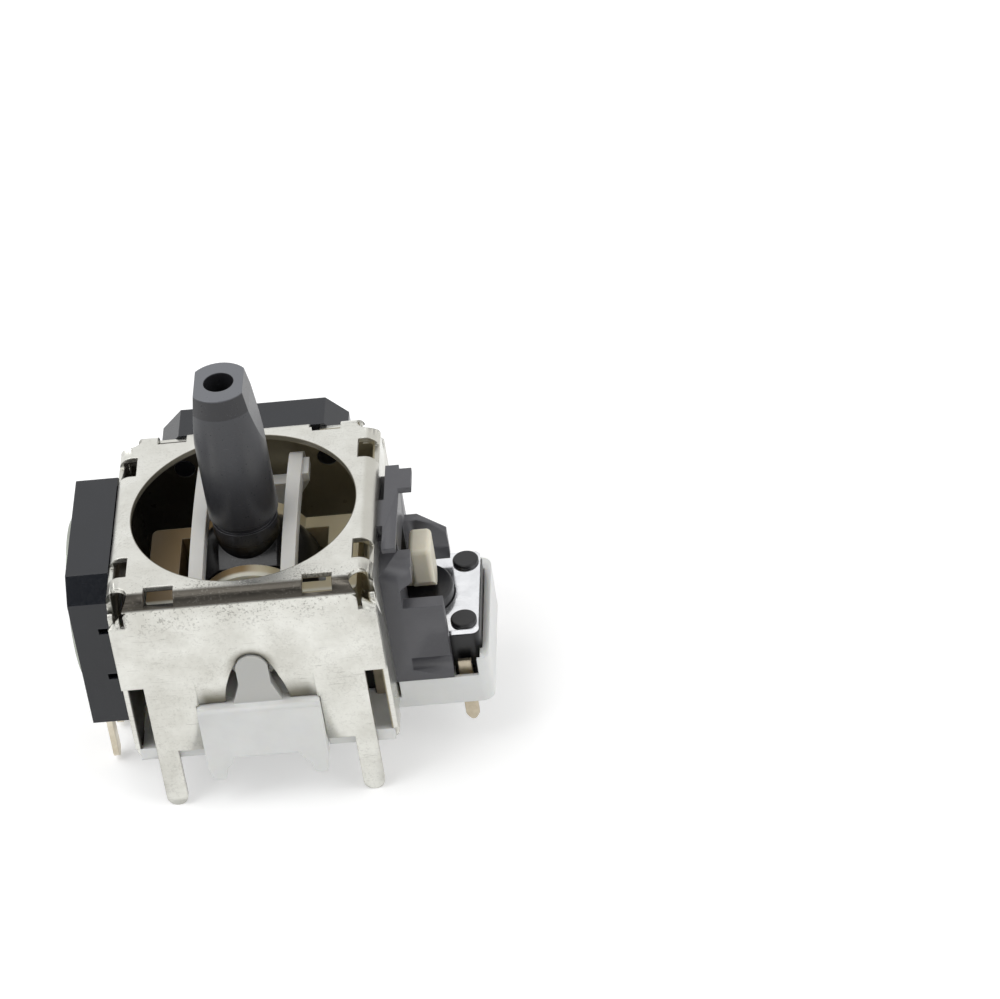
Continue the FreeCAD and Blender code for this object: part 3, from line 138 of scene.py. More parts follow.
class Wiring:
    """Short hand for adding and joining the nodes of one tree."""

    def __init__(self, tree: Tree) -> None:
        """Keeps the tree that the nodes go into."""
        self.tree = tree

    def add(self, kind: str, inputs: dict | None = None, **settings) -> Node:
        """Adds a node.

        Args:
            kind: Blender's name of the node's type.
            inputs: values or sockets for its inputs, by name or index.
            settings: attributes of the node.

        Returns:
            The new node.
        """
        node = self.tree.nodes.new(kind)
        for name, value in settings.items():
            setattr(node, name, value)
        for name, value in (inputs or {}).items():
            self.feed(node.inputs[name], value)
        return node

    def feed(self, socket: Socket, value) -> None:
        """Links a socket into another, or sets its value."""
        if isinstance(value, Socket):
            self.tree.links.new(value, socket)
        elif isinstance(value, tuple) and socket.type == "RGBA":
            socket.default_value = (*value, 1.0)
        else:
            socket.default_value = value

    def math(self, operation: str, first, second=0.0, third=0.0, clamp: bool = False) -> Socket:
        """Result of a Math node."""
        inputs = {0: first, 1: second, 2: third}
        return self.add("ShaderNodeMath", inputs, operation=operation, use_clamp=clamp).outputs[0]

    def times(self, first, *others, clamp: bool = False) -> Socket:
        """Product of several values."""
        total = first
        for other in others:
            total = self.math("MULTIPLY", total, other, clamp=clamp)
        return total

    def line(self, value, factor: float, offset) -> Socket:
        """The value times a factor, plus an offset."""
        return self.math("MULTIPLY_ADD", value, factor, offset)

    def distance(self, first, second) -> Socket:
        """Distance from the middle of a plane with two measures."""
        squares = self.math("ADD", self.times(first, first), self.times(second, second))
        return self.math("SQRT", squares)

    def place(self) -> Socket:
        """Object coordinates, in millimetres."""
        place = self.add("ShaderNodeTexCoord").outputs["Object"]
        return self.add("ShaderNodeVectorMath", {0: place, "Scale": 1 / MM}, operation="SCALE").outputs[0]

    def noise(self, place, scale, detail, roughness: float = 0.5) -> Socket:
        """Soft noise at a place, about 0 to 1."""
        inputs = {"Vector": place, "Scale": scale, "Detail": detail, "Roughness": roughness}
        return self.add("ShaderNodeTexNoise", inputs).outputs["Fac"]

    def ramp(self, value, low: float, high: float) -> Socket:
        """Smooth 0 to 1 step of a value between two levels."""
        node = self.add("ShaderNodeMapRange", {"Value": value, "From Min": low, "From Max": high},
                        interpolation_type="SMOOTHSTEP")
        return node.outputs["Result"]

    def mix(self, share, first, second) -> Socket:
        """Colour between two colours."""
        node = self.add("ShaderNodeMix", data_type="RGBA")
        self.feed(node.inputs["Factor"], share)
        self.feed(node.inputs[6], first)
        self.feed(node.inputs[7], second)
        return node.outputs[2]


def blank(owner: Material | bpy.types.World) -> Wiring:
    """Wiring of a material's or a world's emptied node tree."""
    owner.use_nodes = True
    owner.node_tree.nodes.clear()
    return Wiring(owner.node_tree)


def new_group(name: str, inputs: dict[str, float], *results: str) -> Group:
    """Starts a shader node group.

    Args:
        name: name of the group.
        inputs: default value of each number that it takes.
        results: names of what it gives, each a number unless it is a normal.

    Returns:
        The group, its wiring, and its input and output nodes.
    """
    tree = bpy.data.node_groups.new(name, "ShaderNodeTree")
    for label, value in inputs.items():
        socket = tree.interface.new_socket(label, in_out="INPUT", socket_type="NodeSocketFloat")
        socket.default_value = value
    for label in results:
        kind = "NodeSocketVector" if label == "Normal" else "NodeSocketFloat"
        tree.interface.new_socket(label, in_out="OUTPUT", socket_type=kind)
    wiring = Wiring(tree)
    return tree, wiring, wiring.add("NodeGroupInput"), wiring.add("NodeGroupOutput")


class Effects:
    """Surface effects that several finishes share, each a node group built once."""

    def __init__(self) -> None:
        """Builds every group."""
        self.grain = self._grain()
        self.speckle = self._speckle()
        self.scratches = self._scratches()
        self.edges = self._edges()
        self.clouds = self._clouds()

    def _grain(self) -> Tree:
        """Fine moulded grain as a height."""
        tree, wiring, source, sink = new_group("moulded_grain", {"Scale": 6.0, "Detail": 4.0}, "Height")
        noise = wiring.noise(wiring.place(), source.outputs["Scale"], source.outputs["Detail"], 0.62)
        wiring.feed(sink.inputs["Height"], noise)
        return tree

    def _speckle(self) -> Tree:
        """Small scattered spots as a mask."""
        tree, wiring, source, sink = new_group("speckle", {"Scale": 8.0, "Amount": 0.4}, "Mask")
        place = wiring.place()
        cells = wiring.noise(place, source.outputs["Scale"], 3.0, 0.7)
        patches = wiring.noise(place, 0.6, 2.0)
        wanted = wiring.times(source.outputs["Amount"], 0.30)
        level = wiring.math("SUBTRACT", 0.86, wiring.line(patches, 0.35, wanted))
        over = wiring.math("SUBTRACT", cells, level)
        wiring.feed(sink.inputs["Mask"], wiring.times(over, 14.0, clamp=True))
        return tree

    def _scratches(self) -> Tree:
        """Thin straight scratches in two directions as a mask."""
        tree, wiring, source, sink = new_group("scratches", {"Scale": 1.0, "Amount": 0.5}, "Mask")
        place = wiring.place()
        total = None
        for turn, stretch in ((0.5, 14.0), (2.0, 18.0)):
            mapped = wiring.add("ShaderNodeMapping", {"Vector": place, "Scale": (1.0, stretch, stretch),
                                                      "Rotation": (turn, turn * 0.7, turn * 1.3)})
            noise = wiring.noise(mapped.outputs[0], source.outputs["Scale"], 1.5)
            line = wiring.times(wiring.math("SUBTRACT", noise, 0.70), 22.0, clamp=True)
            total = line if total is None else wiring.math("MAXIMUM", total, line)
        wiring.feed(sink.inputs["Mask"], wiring.times(total, source.outputs["Amount"]))
        return tree

    def _edges(self) -> Tree:
        """Mask of the sharp edges, and a normal that rounds them."""
        tree, wiring, source, sink = new_group("edge_wear", {"Radius": 0.08, "Spread": 6.0}, "Mask", "Normal")
        reach = wiring.times(source.outputs["Radius"], MM)
        bevel = wiring.add("ShaderNodeBevel", {"Radius": reach}, samples=6)
        true_normal = wiring.add("ShaderNodeNewGeometry").outputs["Normal"]
        alike = wiring.add("ShaderNodeVectorMath", {0: bevel.outputs[0], 1: true_normal},
                           operation="DOT_PRODUCT").outputs["Value"]
        turned = wiring.math("SUBTRACT", 1.0, alike)
        wiring.feed(sink.inputs["Mask"], wiring.times(turned, source.outputs["Spread"], clamp=True))
        wiring.feed(sink.inputs["Normal"], bevel.outputs[0])
        return tree

    def _clouds(self) -> Tree:
        """Large soft patches as a mask."""
        tree, wiring, source, sink = new_group("clouds", {"Scale": 0.35, "Contrast": 3.0}, "Mask")
        noise = wiring.noise(wiring.place(), source.outputs["Scale"], 4.0, 0.6)
        centred = wiring.math("SUBTRACT", noise, 0.5)
        spread = wiring.times(centred, source.outputs["Contrast"])
        wiring.feed(sink.inputs["Mask"], wiring.math("ADD", spread, 0.5, clamp=True))
        return tree


class Painter:
    """Starts a material and places the shared effects in it."""

    def __init__(self, effects: Effects, name: str) -> None:
        """Makes the material with its shader and its output."""
        self.effects = effects
        self.material = bpy.data.materials.new(name)
        self.wiring = blank(self.material)
        self.shader = self.wiring.add("ShaderNodeBsdfPrincipled")
        out = self.wiring.add("ShaderNodeOutputMaterial")
        self.wiring.feed(out.inputs["Surface"], self.shader.outputs["BSDF"])

    def effect(self, tree: Tree, **values: float) -> Node:
        """Places a shared effect with its own values."""
        node = self.wiring.add("ShaderNodeGroup", node_tree=tree)
        for label, value in values.items():
            self.wiring.feed(node.inputs[label], value)
        return node

    def split(self) -> list[Socket]:
        """Object coordinates as three numbers, in millimetres."""
        return list(self.wiring.add("ShaderNodeSeparateXYZ", {"Vector": self.wiring.place()}).outputs)

    def mask(self, tree: Tree, **values: float) -> Socket:
        """Mask of a shared effect with its own values."""
        return self.effect(tree, **values).outputs["Mask"]

    def bump(self, height, strength: float, depth: float, normal=None) -> Socket:
        """Normal bent by a height whose full range is depth millimetres deep."""
        node = self.wiring.add("ShaderNodeBump", {"Height": height, "Strength": strength,
                                                  "Distance": depth * MM})
        if normal is not None:
            self.wiring.feed(node.inputs["Normal"], normal)
        return node.outputs["Normal"]

    def finish(self, **sockets) -> Material:
        """Feeds the shader's sockets, with _ for a space in their names, and returns the material."""
        for label, value in sockets.items():
            self.wiring.feed(self.shader.inputs[label.replace("_", " ")], value)
        return self.material


@dataclass(frozen=True)
class Zone:
    """Part of a moulding in another tone: a band along one axis, with a soft edge. Some bands are the
    moulding's own tone, others are painted light and shade.
    """

    axis: Axis
    low: float
    high: float
    colour: Colour
    soft: float = 0.05
    share: float = 1.0


@dataclass(frozen=True)
class MouldedPlastic:
    """Satin moulded plastic with fine grain, soft mottling and rubbed edges."""

    name: str
    colour: Colour
    edge: Colour
    roughness: float = 0.45
    grain: float = 0.25
    mottle: float = 0.10
    scratch: float = 0.0
    glow: float = 0.0
    glow_depth: float = 0.6
    rub: float = 0.5
    grain_depth: float = 0.012
    zones: tuple[Zone, ...] = ()

    def build(self, effects: Effects) -> Material:
        """Makes the material."""
        paint = Painter(effects, self.name)
        wiring = paint.wiring
        edges = paint.effect(effects.edges, Radius=0.06, Spread=3.0)
        grain = paint.effect(effects.grain, Scale=7.0, Detail=5.0)
        clouds = paint.mask(effects.clouds, Scale=0.6, Contrast=2.5)
        dark = tuple(channel * (1.0 - self.mottle) for channel in self.colour)
        light = tuple(channel * (1.0 + self.mottle) for channel in self.colour)
        base = wiring.mix(clouds, dark, light)
        places = paint.split()
        for zone in self.zones:
            place = places[zone.axis.value]
            above = wiring.ramp(place, zone.low - zone.soft, zone.low + zone.soft)
            below = wiring.ramp(place, zone.high + zone.soft, zone.high - zone.soft)
            base = wiring.mix(wiring.times(above, below, zone.share), base, zone.colour)
        base = wiring.mix(wiring.times(edges.outputs["Mask"], self.rub), base, self.edge)
        height = grain.outputs["Height"]
        if self.scratch:
            marks = paint.mask(effects.scratches, Scale=1.6, Amount=self.scratch)
            base = wiring.mix(marks, base, self.edge)
            height = wiring.math("SUBTRACT", height, marks)
        rough = wiring.line(grain.outputs["Height"], 0.16, self.roughness - 0.08)
        normal = paint.bump(height, self.grain, self.grain_depth, edges.outputs["Normal"])
        if self.glow:
            paint.finish(Subsurface_Weight=self.glow, Subsurface_Radius=(0.9, 0.7, 0.4),
                         Subsurface_Scale=self.glow_depth * MM)
        return paint.finish(Base_Color=base, Roughness=rough, Normal=normal)


@dataclass(frozen=True)
class CoverSizes:
    """Sizes of the folded cover in millimetres that its neighbours share."""

    half: float = 6.50
    sheet: float = 0.30
    top: float = 10.65
    bend: float = 0.70
    opening: float = 5.55
    arch_z: float = 5.79
    arch_radius: float = 0.84
    cut_top: float = 3.72


@dataclass(frozen=True)
class PlatedSteel:
    """Satin plating on folded sheet: pitted bend in front with a painted dark reflection on it, a painted
    grey reflection on the right bend, dark cut edges, painted brown shade round the front arch, and a dull
    inside with painted shade.
    """

    name: str
    colour: Colour
    stain_and_reflection: Colour
    pit: Colour
    cut_edge_and_arch_shade: Colour
    inside: Colour
    deep_inside_shade: Colour
    pitted_reflection_stripe: Colour
    sizes: CoverSizes
    field_half: float
    cloud_share: float = 0.5
    grain_share: float = 0.22
    pit_share: float = 0.62
    pits_near_bend: float = 0.8
    pits_anywhere: float = 0.22
    mark_share: float = 0.6
    side_reflection_share: float = 0.75
    stripe_share: float = 0.97
    crumb_share: float = 0.20
    rim_share: float = 0.9
    crown_share: float = 0.6
    field_share: float = 0.85
    least_wear: float = 0.15
    dullness: float = 0.85
    roughness: float = 0.27
    plate_roughness: float = 0.14
    cloud_roughness: float = 0.10

    def build(self, effects: Effects) -> Material:
        """Makes the material."""
        paint = Painter(effects, self.name)
        wiring = paint.wiring
        mix, ramp, times, line = wiring.mix, wiring.ramp, wiring.times, wiring.line
        sizes = self.sizes
        x, y, z = paint.split()
        wide = wiring.math("ABSOLUTE", x)
        deep = wiring.math("ABSOLUTE", y)
        edges = paint.effect(effects.edges, Radius=0.08, Spread=3.0)
        pits = paint.mask(effects.speckle, Scale=9.0, Amount=0.42)
        crumbs = paint.mask(effects.speckle, Scale=9.0, Amount=0.3)
        clouds = paint.mask(effects.clouds, Scale=0.5, Contrast=3.0)
        marks = paint.mask(effects.scratches, Scale=1.0, Amount=0.4)
        grain = paint.effect(effects.grain, Scale=4.0, Detail=6.0).outputs["Height"]

        base = mix(times(clouds, self.cloud_share), self.colour, self.stain_and_reflection)
        base = mix(times(grain, self.grain_share), base, self.stain_and_reflection)
        near_front = ramp(y, 2.2 - sizes.half, 0.5 - sizes.half)
        near_top = ramp(z, sizes.top - 2.4, sizes.top - 0.8)
        near_bend = times(near_front, near_top)
        pitted = times(pits, line(near_bend, self.pits_near_bend, self.pits_anywhere))
        base = mix(times(pitted, self.pit_share), base, self.pit)
        base = mix(times(marks, self.mark_share), base, self.pit)

        bend_start = sizes.half - sizes.bend
        on_bend = ramp(z, sizes.top - sizes.bend - 0.02, sizes.top - sizes.bend + 0.16)
        # Painted reflection: the right bend is painted grey with the stain tone.
        side_bend_reflection = times(ramp(x, bend_start - 0.02, bend_start + 0.25), on_bend)
        base = mix(times(side_bend_reflection, self.side_reflection_share), base, self.stain_and_reflection)
        # The dark stripe on the front bend is partly its pitted plating and partly a painted dark reflection.
        front_bend = times(ramp(y, 0.05 - bend_start, -0.2 - bend_start), on_bend,
                           ramp(wide, sizes.half - 0.3, sizes.half - 0.7))
        pitted_reflection_stripe = times(front_bend, line(crumbs, -self.crumb_share, self.stripe_share))
        base = mix(pitted_reflection_stripe, base, self.pitted_reflection_stripe)

        rim = ramp(wiring.distance(x, y), sizes.opening + 0.05, sizes.opening + 0.01)
        base = mix(times(rim, self.rim_share), base, self.cut_edge_and_arch_shade)
        # Painted shade inside the cover: near black on the left, lighter brown on the right.
        inner = sizes.half - sizes.sheet
        ceiling = sizes.top - sizes.sheet
        within = times(ramp(wiring.math("MAXIMUM", wide, deep), inner + 0.10, inner + 0.04),
                       ramp(z, ceiling + 0.06, ceiling + 0.02))
        base = mix(within, base, mix(ramp(x, -4.5, 4.5), self.deep_inside_shade, self.inside))
        # Painted shade: the pressed field round the front arch is painted brown with the cut edge tone.
        base = mix(self._arch_painted_shade(paint, x, y, z, wide), base, self.cut_edge_and_arch_shade)
        worn = times(edges.outputs["Mask"], wiring.math("ADD", self.least_wear, crumbs), clamp=True)
        base = mix(worn, base, self.cut_edge_and_arch_shade)

        on_plate = ramp(y, 0.25 - sizes.half, 0.05 - sizes.half)
        rough = line(on_plate, self.plate_roughness, self.roughness)
        rough = line(clouds, self.cloud_roughness, rough)
        height = wiring.math("SUBTRACT", wiring.math("SUBTRACT", grain, pitted), marks)
        normal = paint.bump(height, 0.30, 0.016, edges.outputs["Normal"])
        metal = line(wiring.math("MAXIMUM", within, rim), -self.dullness, 1.0)
        return paint.finish(Base_Color=base, Roughness=rough, Normal=normal, Metallic=metal)

    def _arch_painted_shade(self, paint: Painter, x, y, z, wide) -> Socket:
        """Mask of the painted brown shade in the pressed field round the front arch."""
        wiring = paint.wiring
        ramp, times, sizes = wiring.ramp, wiring.times, self.sizes
        reach = wiring.distance(x, wiring.math("SUBTRACT", z, sizes.arch_z))
        crown = ramp(reach, sizes.arch_radius + 0.60, sizes.arch_radius - 0.05)
        field_shade = times(ramp(z, sizes.cut_top + 1.35, sizes.cut_top + 0.05),
                            ramp(wide, self.field_half + 0.1, self.field_half - 0.45),
                            ramp(z, sizes.cut_top - 0.15, sizes.cut_top - 0.05))
        shade = wiring.math("MAXIMUM", times(crown, self.crown_share), times(field_shade, self.field_share))
        return times(shade, ramp(y, 0.35 - sizes.half, 0.25 - sizes.half))


@dataclass(frozen=True)
class BareMetal:
    """Plain metal of pins, springs and plates, with light tarnish."""

    name: str
    colour: Colour
    tarnish: Colour
    roughness: float = 0.3

    def build(self, effects: Effects) -> Material:
        """Makes the material."""
        paint = Painter(effects, self.name)
        wiring = paint.wiring
        edges = paint.effect(effects.edges, Radius=0.05, Spread=5.0)
        clouds = paint.mask(effects.clouds, Scale=1.2, Contrast=3.0)
        marks = paint.mask(effects.scratches, Scale=2.0, Amount=0.4)
        base = wiring.mix(wiring.times(clouds, 0.5), self.colour, self.tarnish)
        rough = wiring.line(clouds, 0.12, self.roughness - 0.06)
        normal = paint.bump(marks, 0.2, 0.01, edges.outputs["Normal"])
        return paint.finish(Base_Color=base, Roughness=rough, Normal=normal, Metallic=1.0)


def dress(frame: dict, material: Material, *nodes: str) -> None:
    """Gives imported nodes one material."""
    for name in nodes:
        data = frame["nodes"][name].data
        data.materials.clear()
        data.materials.append(material)
        LOG.info("%s wears %s", name, material.name)


def bow(start: Point, via: Point, end: Point, steps: int = 12) -> Outline:
    """Curve between two points that passes a third half way.

    Args:
        start: first point, which is left out.
        via: point half way.
        end: last point, which is kept.
        steps: number of stretches.

    Returns:
        The points after the first.
    """
    pull = tuple(2 * via[i] - (start[i] + end[i]) / 2 for i in (0, 1))
    points = []
    for step in range(1, steps + 1):
        t = step / steps
        shares = ((1 - t) ** 2, 2 * t * (1 - t), t * t)
        points.append(tuple(shares[0] * start[i] + shares[1] * pull[i] + shares[2] * end[i] for i in (0, 1)))
    return points


def round_top(centre: Point, radius: float, steps: int = 24) -> Outline:
    """Half circle from the right of a centre over its top to the left."""
    turns = [math.pi * step / steps for step in range(steps + 1)]
    return [(centre[0] + radius * math.cos(turn), centre[1] + radius * math.sin(turn)) for turn in turns]


def mirrored(outline: Outline, side: int) -> Outline:
    """The outline, or with side -1 its mirror image across the first axis."""
    return [(a * side, b) for a, b in outline]


def span(side: int, near: float, far: float) -> Span:
    """Two distances from the middle as a span on one side of it."""
    return (near, far) if side > 0 else (-far, -near)


class Workshop:
    """Bench where pieces are modelled in millimetres, then brought to the frame's metres."""

    merge = 0.0005
    crease = math.radians(40)
    smooth = math.radians(32)

    def __init__(self, frame: dict) -> None:
        """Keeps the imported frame."""
        self.frame = frame

    @staticmethod
    def pick(piece: Solid) -> None:
        """Selects one piece alone."""
        bpy.ops.object.select_all(action="DESELECT")
        piece.select_set(True)
        bpy.context.view_layer.objects.active = piece

    def settle(self, piece: Solid) -> Solid:
        """Moves a piece's place, turn and scale into its mesh."""
        self.pick(piece)
        bpy.ops.object.transform_apply(location=True, rotation=True, scale=True)
        return piece

    def block(self, x: Span, y: Span, z: Span) -> Solid:
        """Box between two corners, as a tool or a start."""
        bpy.ops.object.select_all(action="DESELECT")
        bpy.ops.mesh.primitive_cube_add(size=1.0, location=[(low + high) / 2 for low, high in (x, y, z)])
        piece = bpy.context.active_object
        piece.scale = [high - low for low, high in (x, y, z)]
        return self.settle(piece)

    def rod(self, start: tuple[float, float, float], axis: Axis, radius: float, length: float,
            far_radius: float | None = None, sides: int = 64) -> Solid:
        """Round or tapered bar from a point along an axis.

        Args:
            start: middle of its first end.
            axis: direction that it runs in.
            radius: radius at the first end.
            length: length.
            far_radius: radius at the other end, where it tapers.
            sides: number of sides.

        Returns:
            The bar.
        """
        bpy.ops.object.select_all(action="DESELECT")
        way = Vector([1.0 if index == axis.value else 0.0 for index in range(3)])
        bpy.ops.mesh.primitive_cone_add(vertices=sides, radius1=radius,
                                        radius2=radius if far_radius is None else far_radius, depth=length,
                                        location=Vector(start) + way * length / 2,
                                        rotation=way.to_track_quat("Z", "Y").to_euler())
        return self.settle(bpy.context.active_object)

    def prism(self, outline: Outline, axis: Axis, low: float, high: float) -> Solid:
        """Straight bar with an outline, along an axis between two places.

        Args:
            outline: corners in the other two axes, in the order of x, y and z.
            axis: direction that the bar runs in.
            low: where it starts.
            high: where it ends.

        Returns:
            The bar.
        """
        bpy.ops.object.select_all(action="DESELECT")
        bpy.ops.mesh.primitive_circle_add(vertices=len(outline), radius=1.0, fill_type="NGON")
        piece = bpy.context.active_object
        for vertex, (first, second) in zip(piece.data.vertices, outline):
            place = [first, second]
            place.insert(axis.value, low)
            vertex.co = place
        move = [high - low if index == axis.value else 0.0 for index in range(3)]
        self.pick(piece)
        bpy.ops.object.mode_set(mode="EDIT")
        bpy.ops.mesh.select_all(action="SELECT")
        bpy.ops.mesh.extrude_region_move(TRANSFORM_OT_translate={"value": move})
        bpy.ops.mesh.select_all(action="SELECT")
        bpy.ops.mesh.normals_make_consistent(inside=False)
        bpy.ops.object.mode_set(mode="OBJECT")
        return piece

    def copy_of(self, node: str) -> Solid:
        """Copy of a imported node, merged and in millimetres, to work on."""
        piece = bpy.data.objects.new(f"{node}_copy", self.frame["nodes"][node].data.copy())
        bpy.context.scene.collection.objects.link(piece)
        return self.resize(piece, 1 / MM, self.merge)

    def resize(self, piece: Solid, factor: float, reach: float) -> Solid:
        """Scales a piece, then merges its points that lie within reach of each other."""
        piece.scale = (factor,) * 3
        self.settle(piece)
        bpy.ops.object.mode_set(mode="EDIT")
        bpy.ops.mesh.select_all(action="SELECT")
        bpy.ops.mesh.remove_doubles(threshold=reach)
        bpy.ops.object.mode_set(mode="OBJECT")
        return piece

    def combine(self, piece: Solid, how: Joining, *tools: Solid) -> Solid:
        """Fuses tools to a piece, cuts them out of it, or keeps what it shares with them."""
        for tool in tools:
            self.pick(piece)
            modifier = piece.modifiers.new("combine", "BOOLEAN")
            modifier.operation = how.value
            modifier.solver = "EXACT"
            modifier.object = tool
            bpy.ops.object.modifier_apply(modifier=modifier.name)
            bpy.data.objects.remove(tool, do_unlink=True)
        return piece

    def soften(self, piece: Solid, width: float, segments: int = 3) -> Solid:
        """Rounds the sharp edges of a piece."""
        self.pick(piece)
        modifier = piece.modifiers.new("soften", "BEVEL")
        modifier.width = width
        modifier.segments = segments
        modifier.limit_method = "ANGLE"
        modifier.angle_limit = self.crease
        bpy.ops.object.modifier_apply(modifier=modifier.name)
        return piece

    def deliver(self, piece: Solid, name: str, body: str, slot: str,
                material: Material, *replaced: str) -> Solid:
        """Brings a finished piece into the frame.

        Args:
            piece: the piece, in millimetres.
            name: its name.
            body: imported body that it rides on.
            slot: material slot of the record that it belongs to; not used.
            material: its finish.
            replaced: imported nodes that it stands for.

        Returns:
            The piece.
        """
        self.resize(piece, MM, self.merge * MM)
        bpy.ops.object.shade_smooth_by_angle(angle=self.smooth)
        piece.data.materials.clear()
        piece.data.materials.append(material)
        piece.name = name
        piece.data.name = name
        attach(piece, body)
        if replaced:
            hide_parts(*replaced)
        LOG.info("%s: %d faces, wears %s", name, len(piece.data.polygons), material.name)
        return piece


@dataclass
class FoldedCover:
    """Steel cover round the whole module, with its pressed field, bell-shaped arch and cut corners."""

    sizes: CoverSizes = CoverSizes()
    node: str = "frame_cover"
    body: str = "module"
    corner_cut: float = 1.05
    corner_drop: float = 0.98
    relief: float = 5.90
    slit: float = 0.06
    neck_rise: float = 0.26
    waist: Point = (1.33, 5.00)
    foot_half: float = 1.60
    field_half: float = 2.90
    field_top: float = 5.25
    field_depth: float = 0.16
    field_ring: float = 1.42
    beyond: float = 0.10
    hair: float = 0.004

    def finish(self) -> PlatedSteel:
        """Plating in the cover's own sizes."""
        # The stain tone also paints the grey reflection on the right bend, the cut edge tone also paints the
        # shade round the arch, the two inside tones are painted shade, and the last tone is the pitted front
        # bend with its painted dark reflection.
        return PlatedSteel("plating", tone(229, 229, 223), tone(188, 186, 177), tone(104, 100, 94),
                           tone(104, 98, 80), tone(150, 141, 116), tone(56, 53, 46), tone(70, 66, 60),
                           sizes=self.sizes, field_half=self.field_half)

    def build(self, shop: Workshop, effects: Effects) -> None:
        """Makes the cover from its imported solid, with the pressed and cut forms that it leaves out."""
        piece = shop.copy_of(self.node)
        self._front_plate(shop, piece)
        self._wall_ends(shop, piece)
        plating = self.finish().build(effects)
        shop.deliver(piece, "folded_cover", self.body, "plated_steel", plating, self.node)

    def _wall_ends(self, shop: Workshop, piece: Solid) -> None:
        """Cuts every wall's upper corners on a slant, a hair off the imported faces."""
        sizes = self.sizes
        foot = sizes.top - sizes.bend
        slope = self.corner_drop / self.corner_cut
        start = sizes.half - self.corner_cut
        hair = self.hair

        def slant(place: float) -> float:
            """Height of the slanted cut at a distance from the middle."""
            return foot - slope * (place - start) - hair * 3

        low = slant(sizes.half) - self.beyond
        inner = sizes.half - sizes.sheet
        far = sizes.half + self.beyond
        wedge = [(start, foot - hair * 2), (far, slant(far)), (far, foot - hair * 2)]
        for side in (-1, 1):
            for end, axis in ((sizes.half - hair, Axis.Y), (inner - self.slit - hair, Axis.X)):
                over = hair * 6
                fill = mirrored([(self.relief, low), (end, low), (end, slant(end) + over),
                                 (self.relief, slant(self.relief) + over)], side)
                for wall in (-1, 1):
                    ends = span(wall, inner + hair, sizes.half - hair)
                    shop.combine(piece, Joining.FUSE, shop.prism(fill, axis, *ends))
            for axis in (Axis.X, Axis.Y):
                for wall in (-1, 1):
                    ends = span(wall, inner - self.beyond, far)
                    shop.combine(piece, Joining.CUT, shop.prism(mirrored(wedge, side), axis, *ends))

    def _front_plate(self, shop: Workshop, piece: Solid) -> None:
        """Opens the bell-shaped arch and presses the field round it."""
        sizes = self.sizes
        face = -sizes.half
        front = face - self.beyond
        reach = self.field_half + self.beyond / 2
        crown_top = sizes.arch_z + self.field_ring + self.beyond
        shop.combine(piece, Joining.FUSE, shop.block((-reach, reach), (face, face + sizes.sheet),
                                                     (sizes.cut_top, crown_top)))
        neck = math.sqrt(sizes.arch_radius ** 2 - self.neck_rise ** 2)
        neck_z = sizes.arch_z + self.neck_rise
        foot_z = sizes.cut_top - self.beyond
        side = bow((self.foot_half, foot_z), self.waist, (neck, neck_z))
        right = [(self.foot_half, foot_z)] + side
        bell = right + mirrored(right[::-1], -1)
        back = face + sizes.sheet * 2
        slope = (self.field_top - sizes.cut_top) / self.field_depth
        floor = face + self.field_depth
        ramp = [(front, self.field_top + slope * self.beyond), (floor, foot_z), (front, foot_z)]
        flare = (self.field_ring - sizes.arch_radius) / self.field_depth
        ring = shop.rod((0, front, sizes.arch_z), Axis.Y, self.field_ring + flare * self.beyond,
                        self.field_depth + self.beyond, far_radius=sizes.arch_radius)
        shop.combine(piece, Joining.CUT, ring, shop.prism(ramp, Axis.X, -self.field_half, self.field_half),
                     shop.prism(bell, Axis.Y, front, back),
                     shop.rod((0, front, sizes.arch_z), Axis.Y, sizes.arch_radius, back - front))


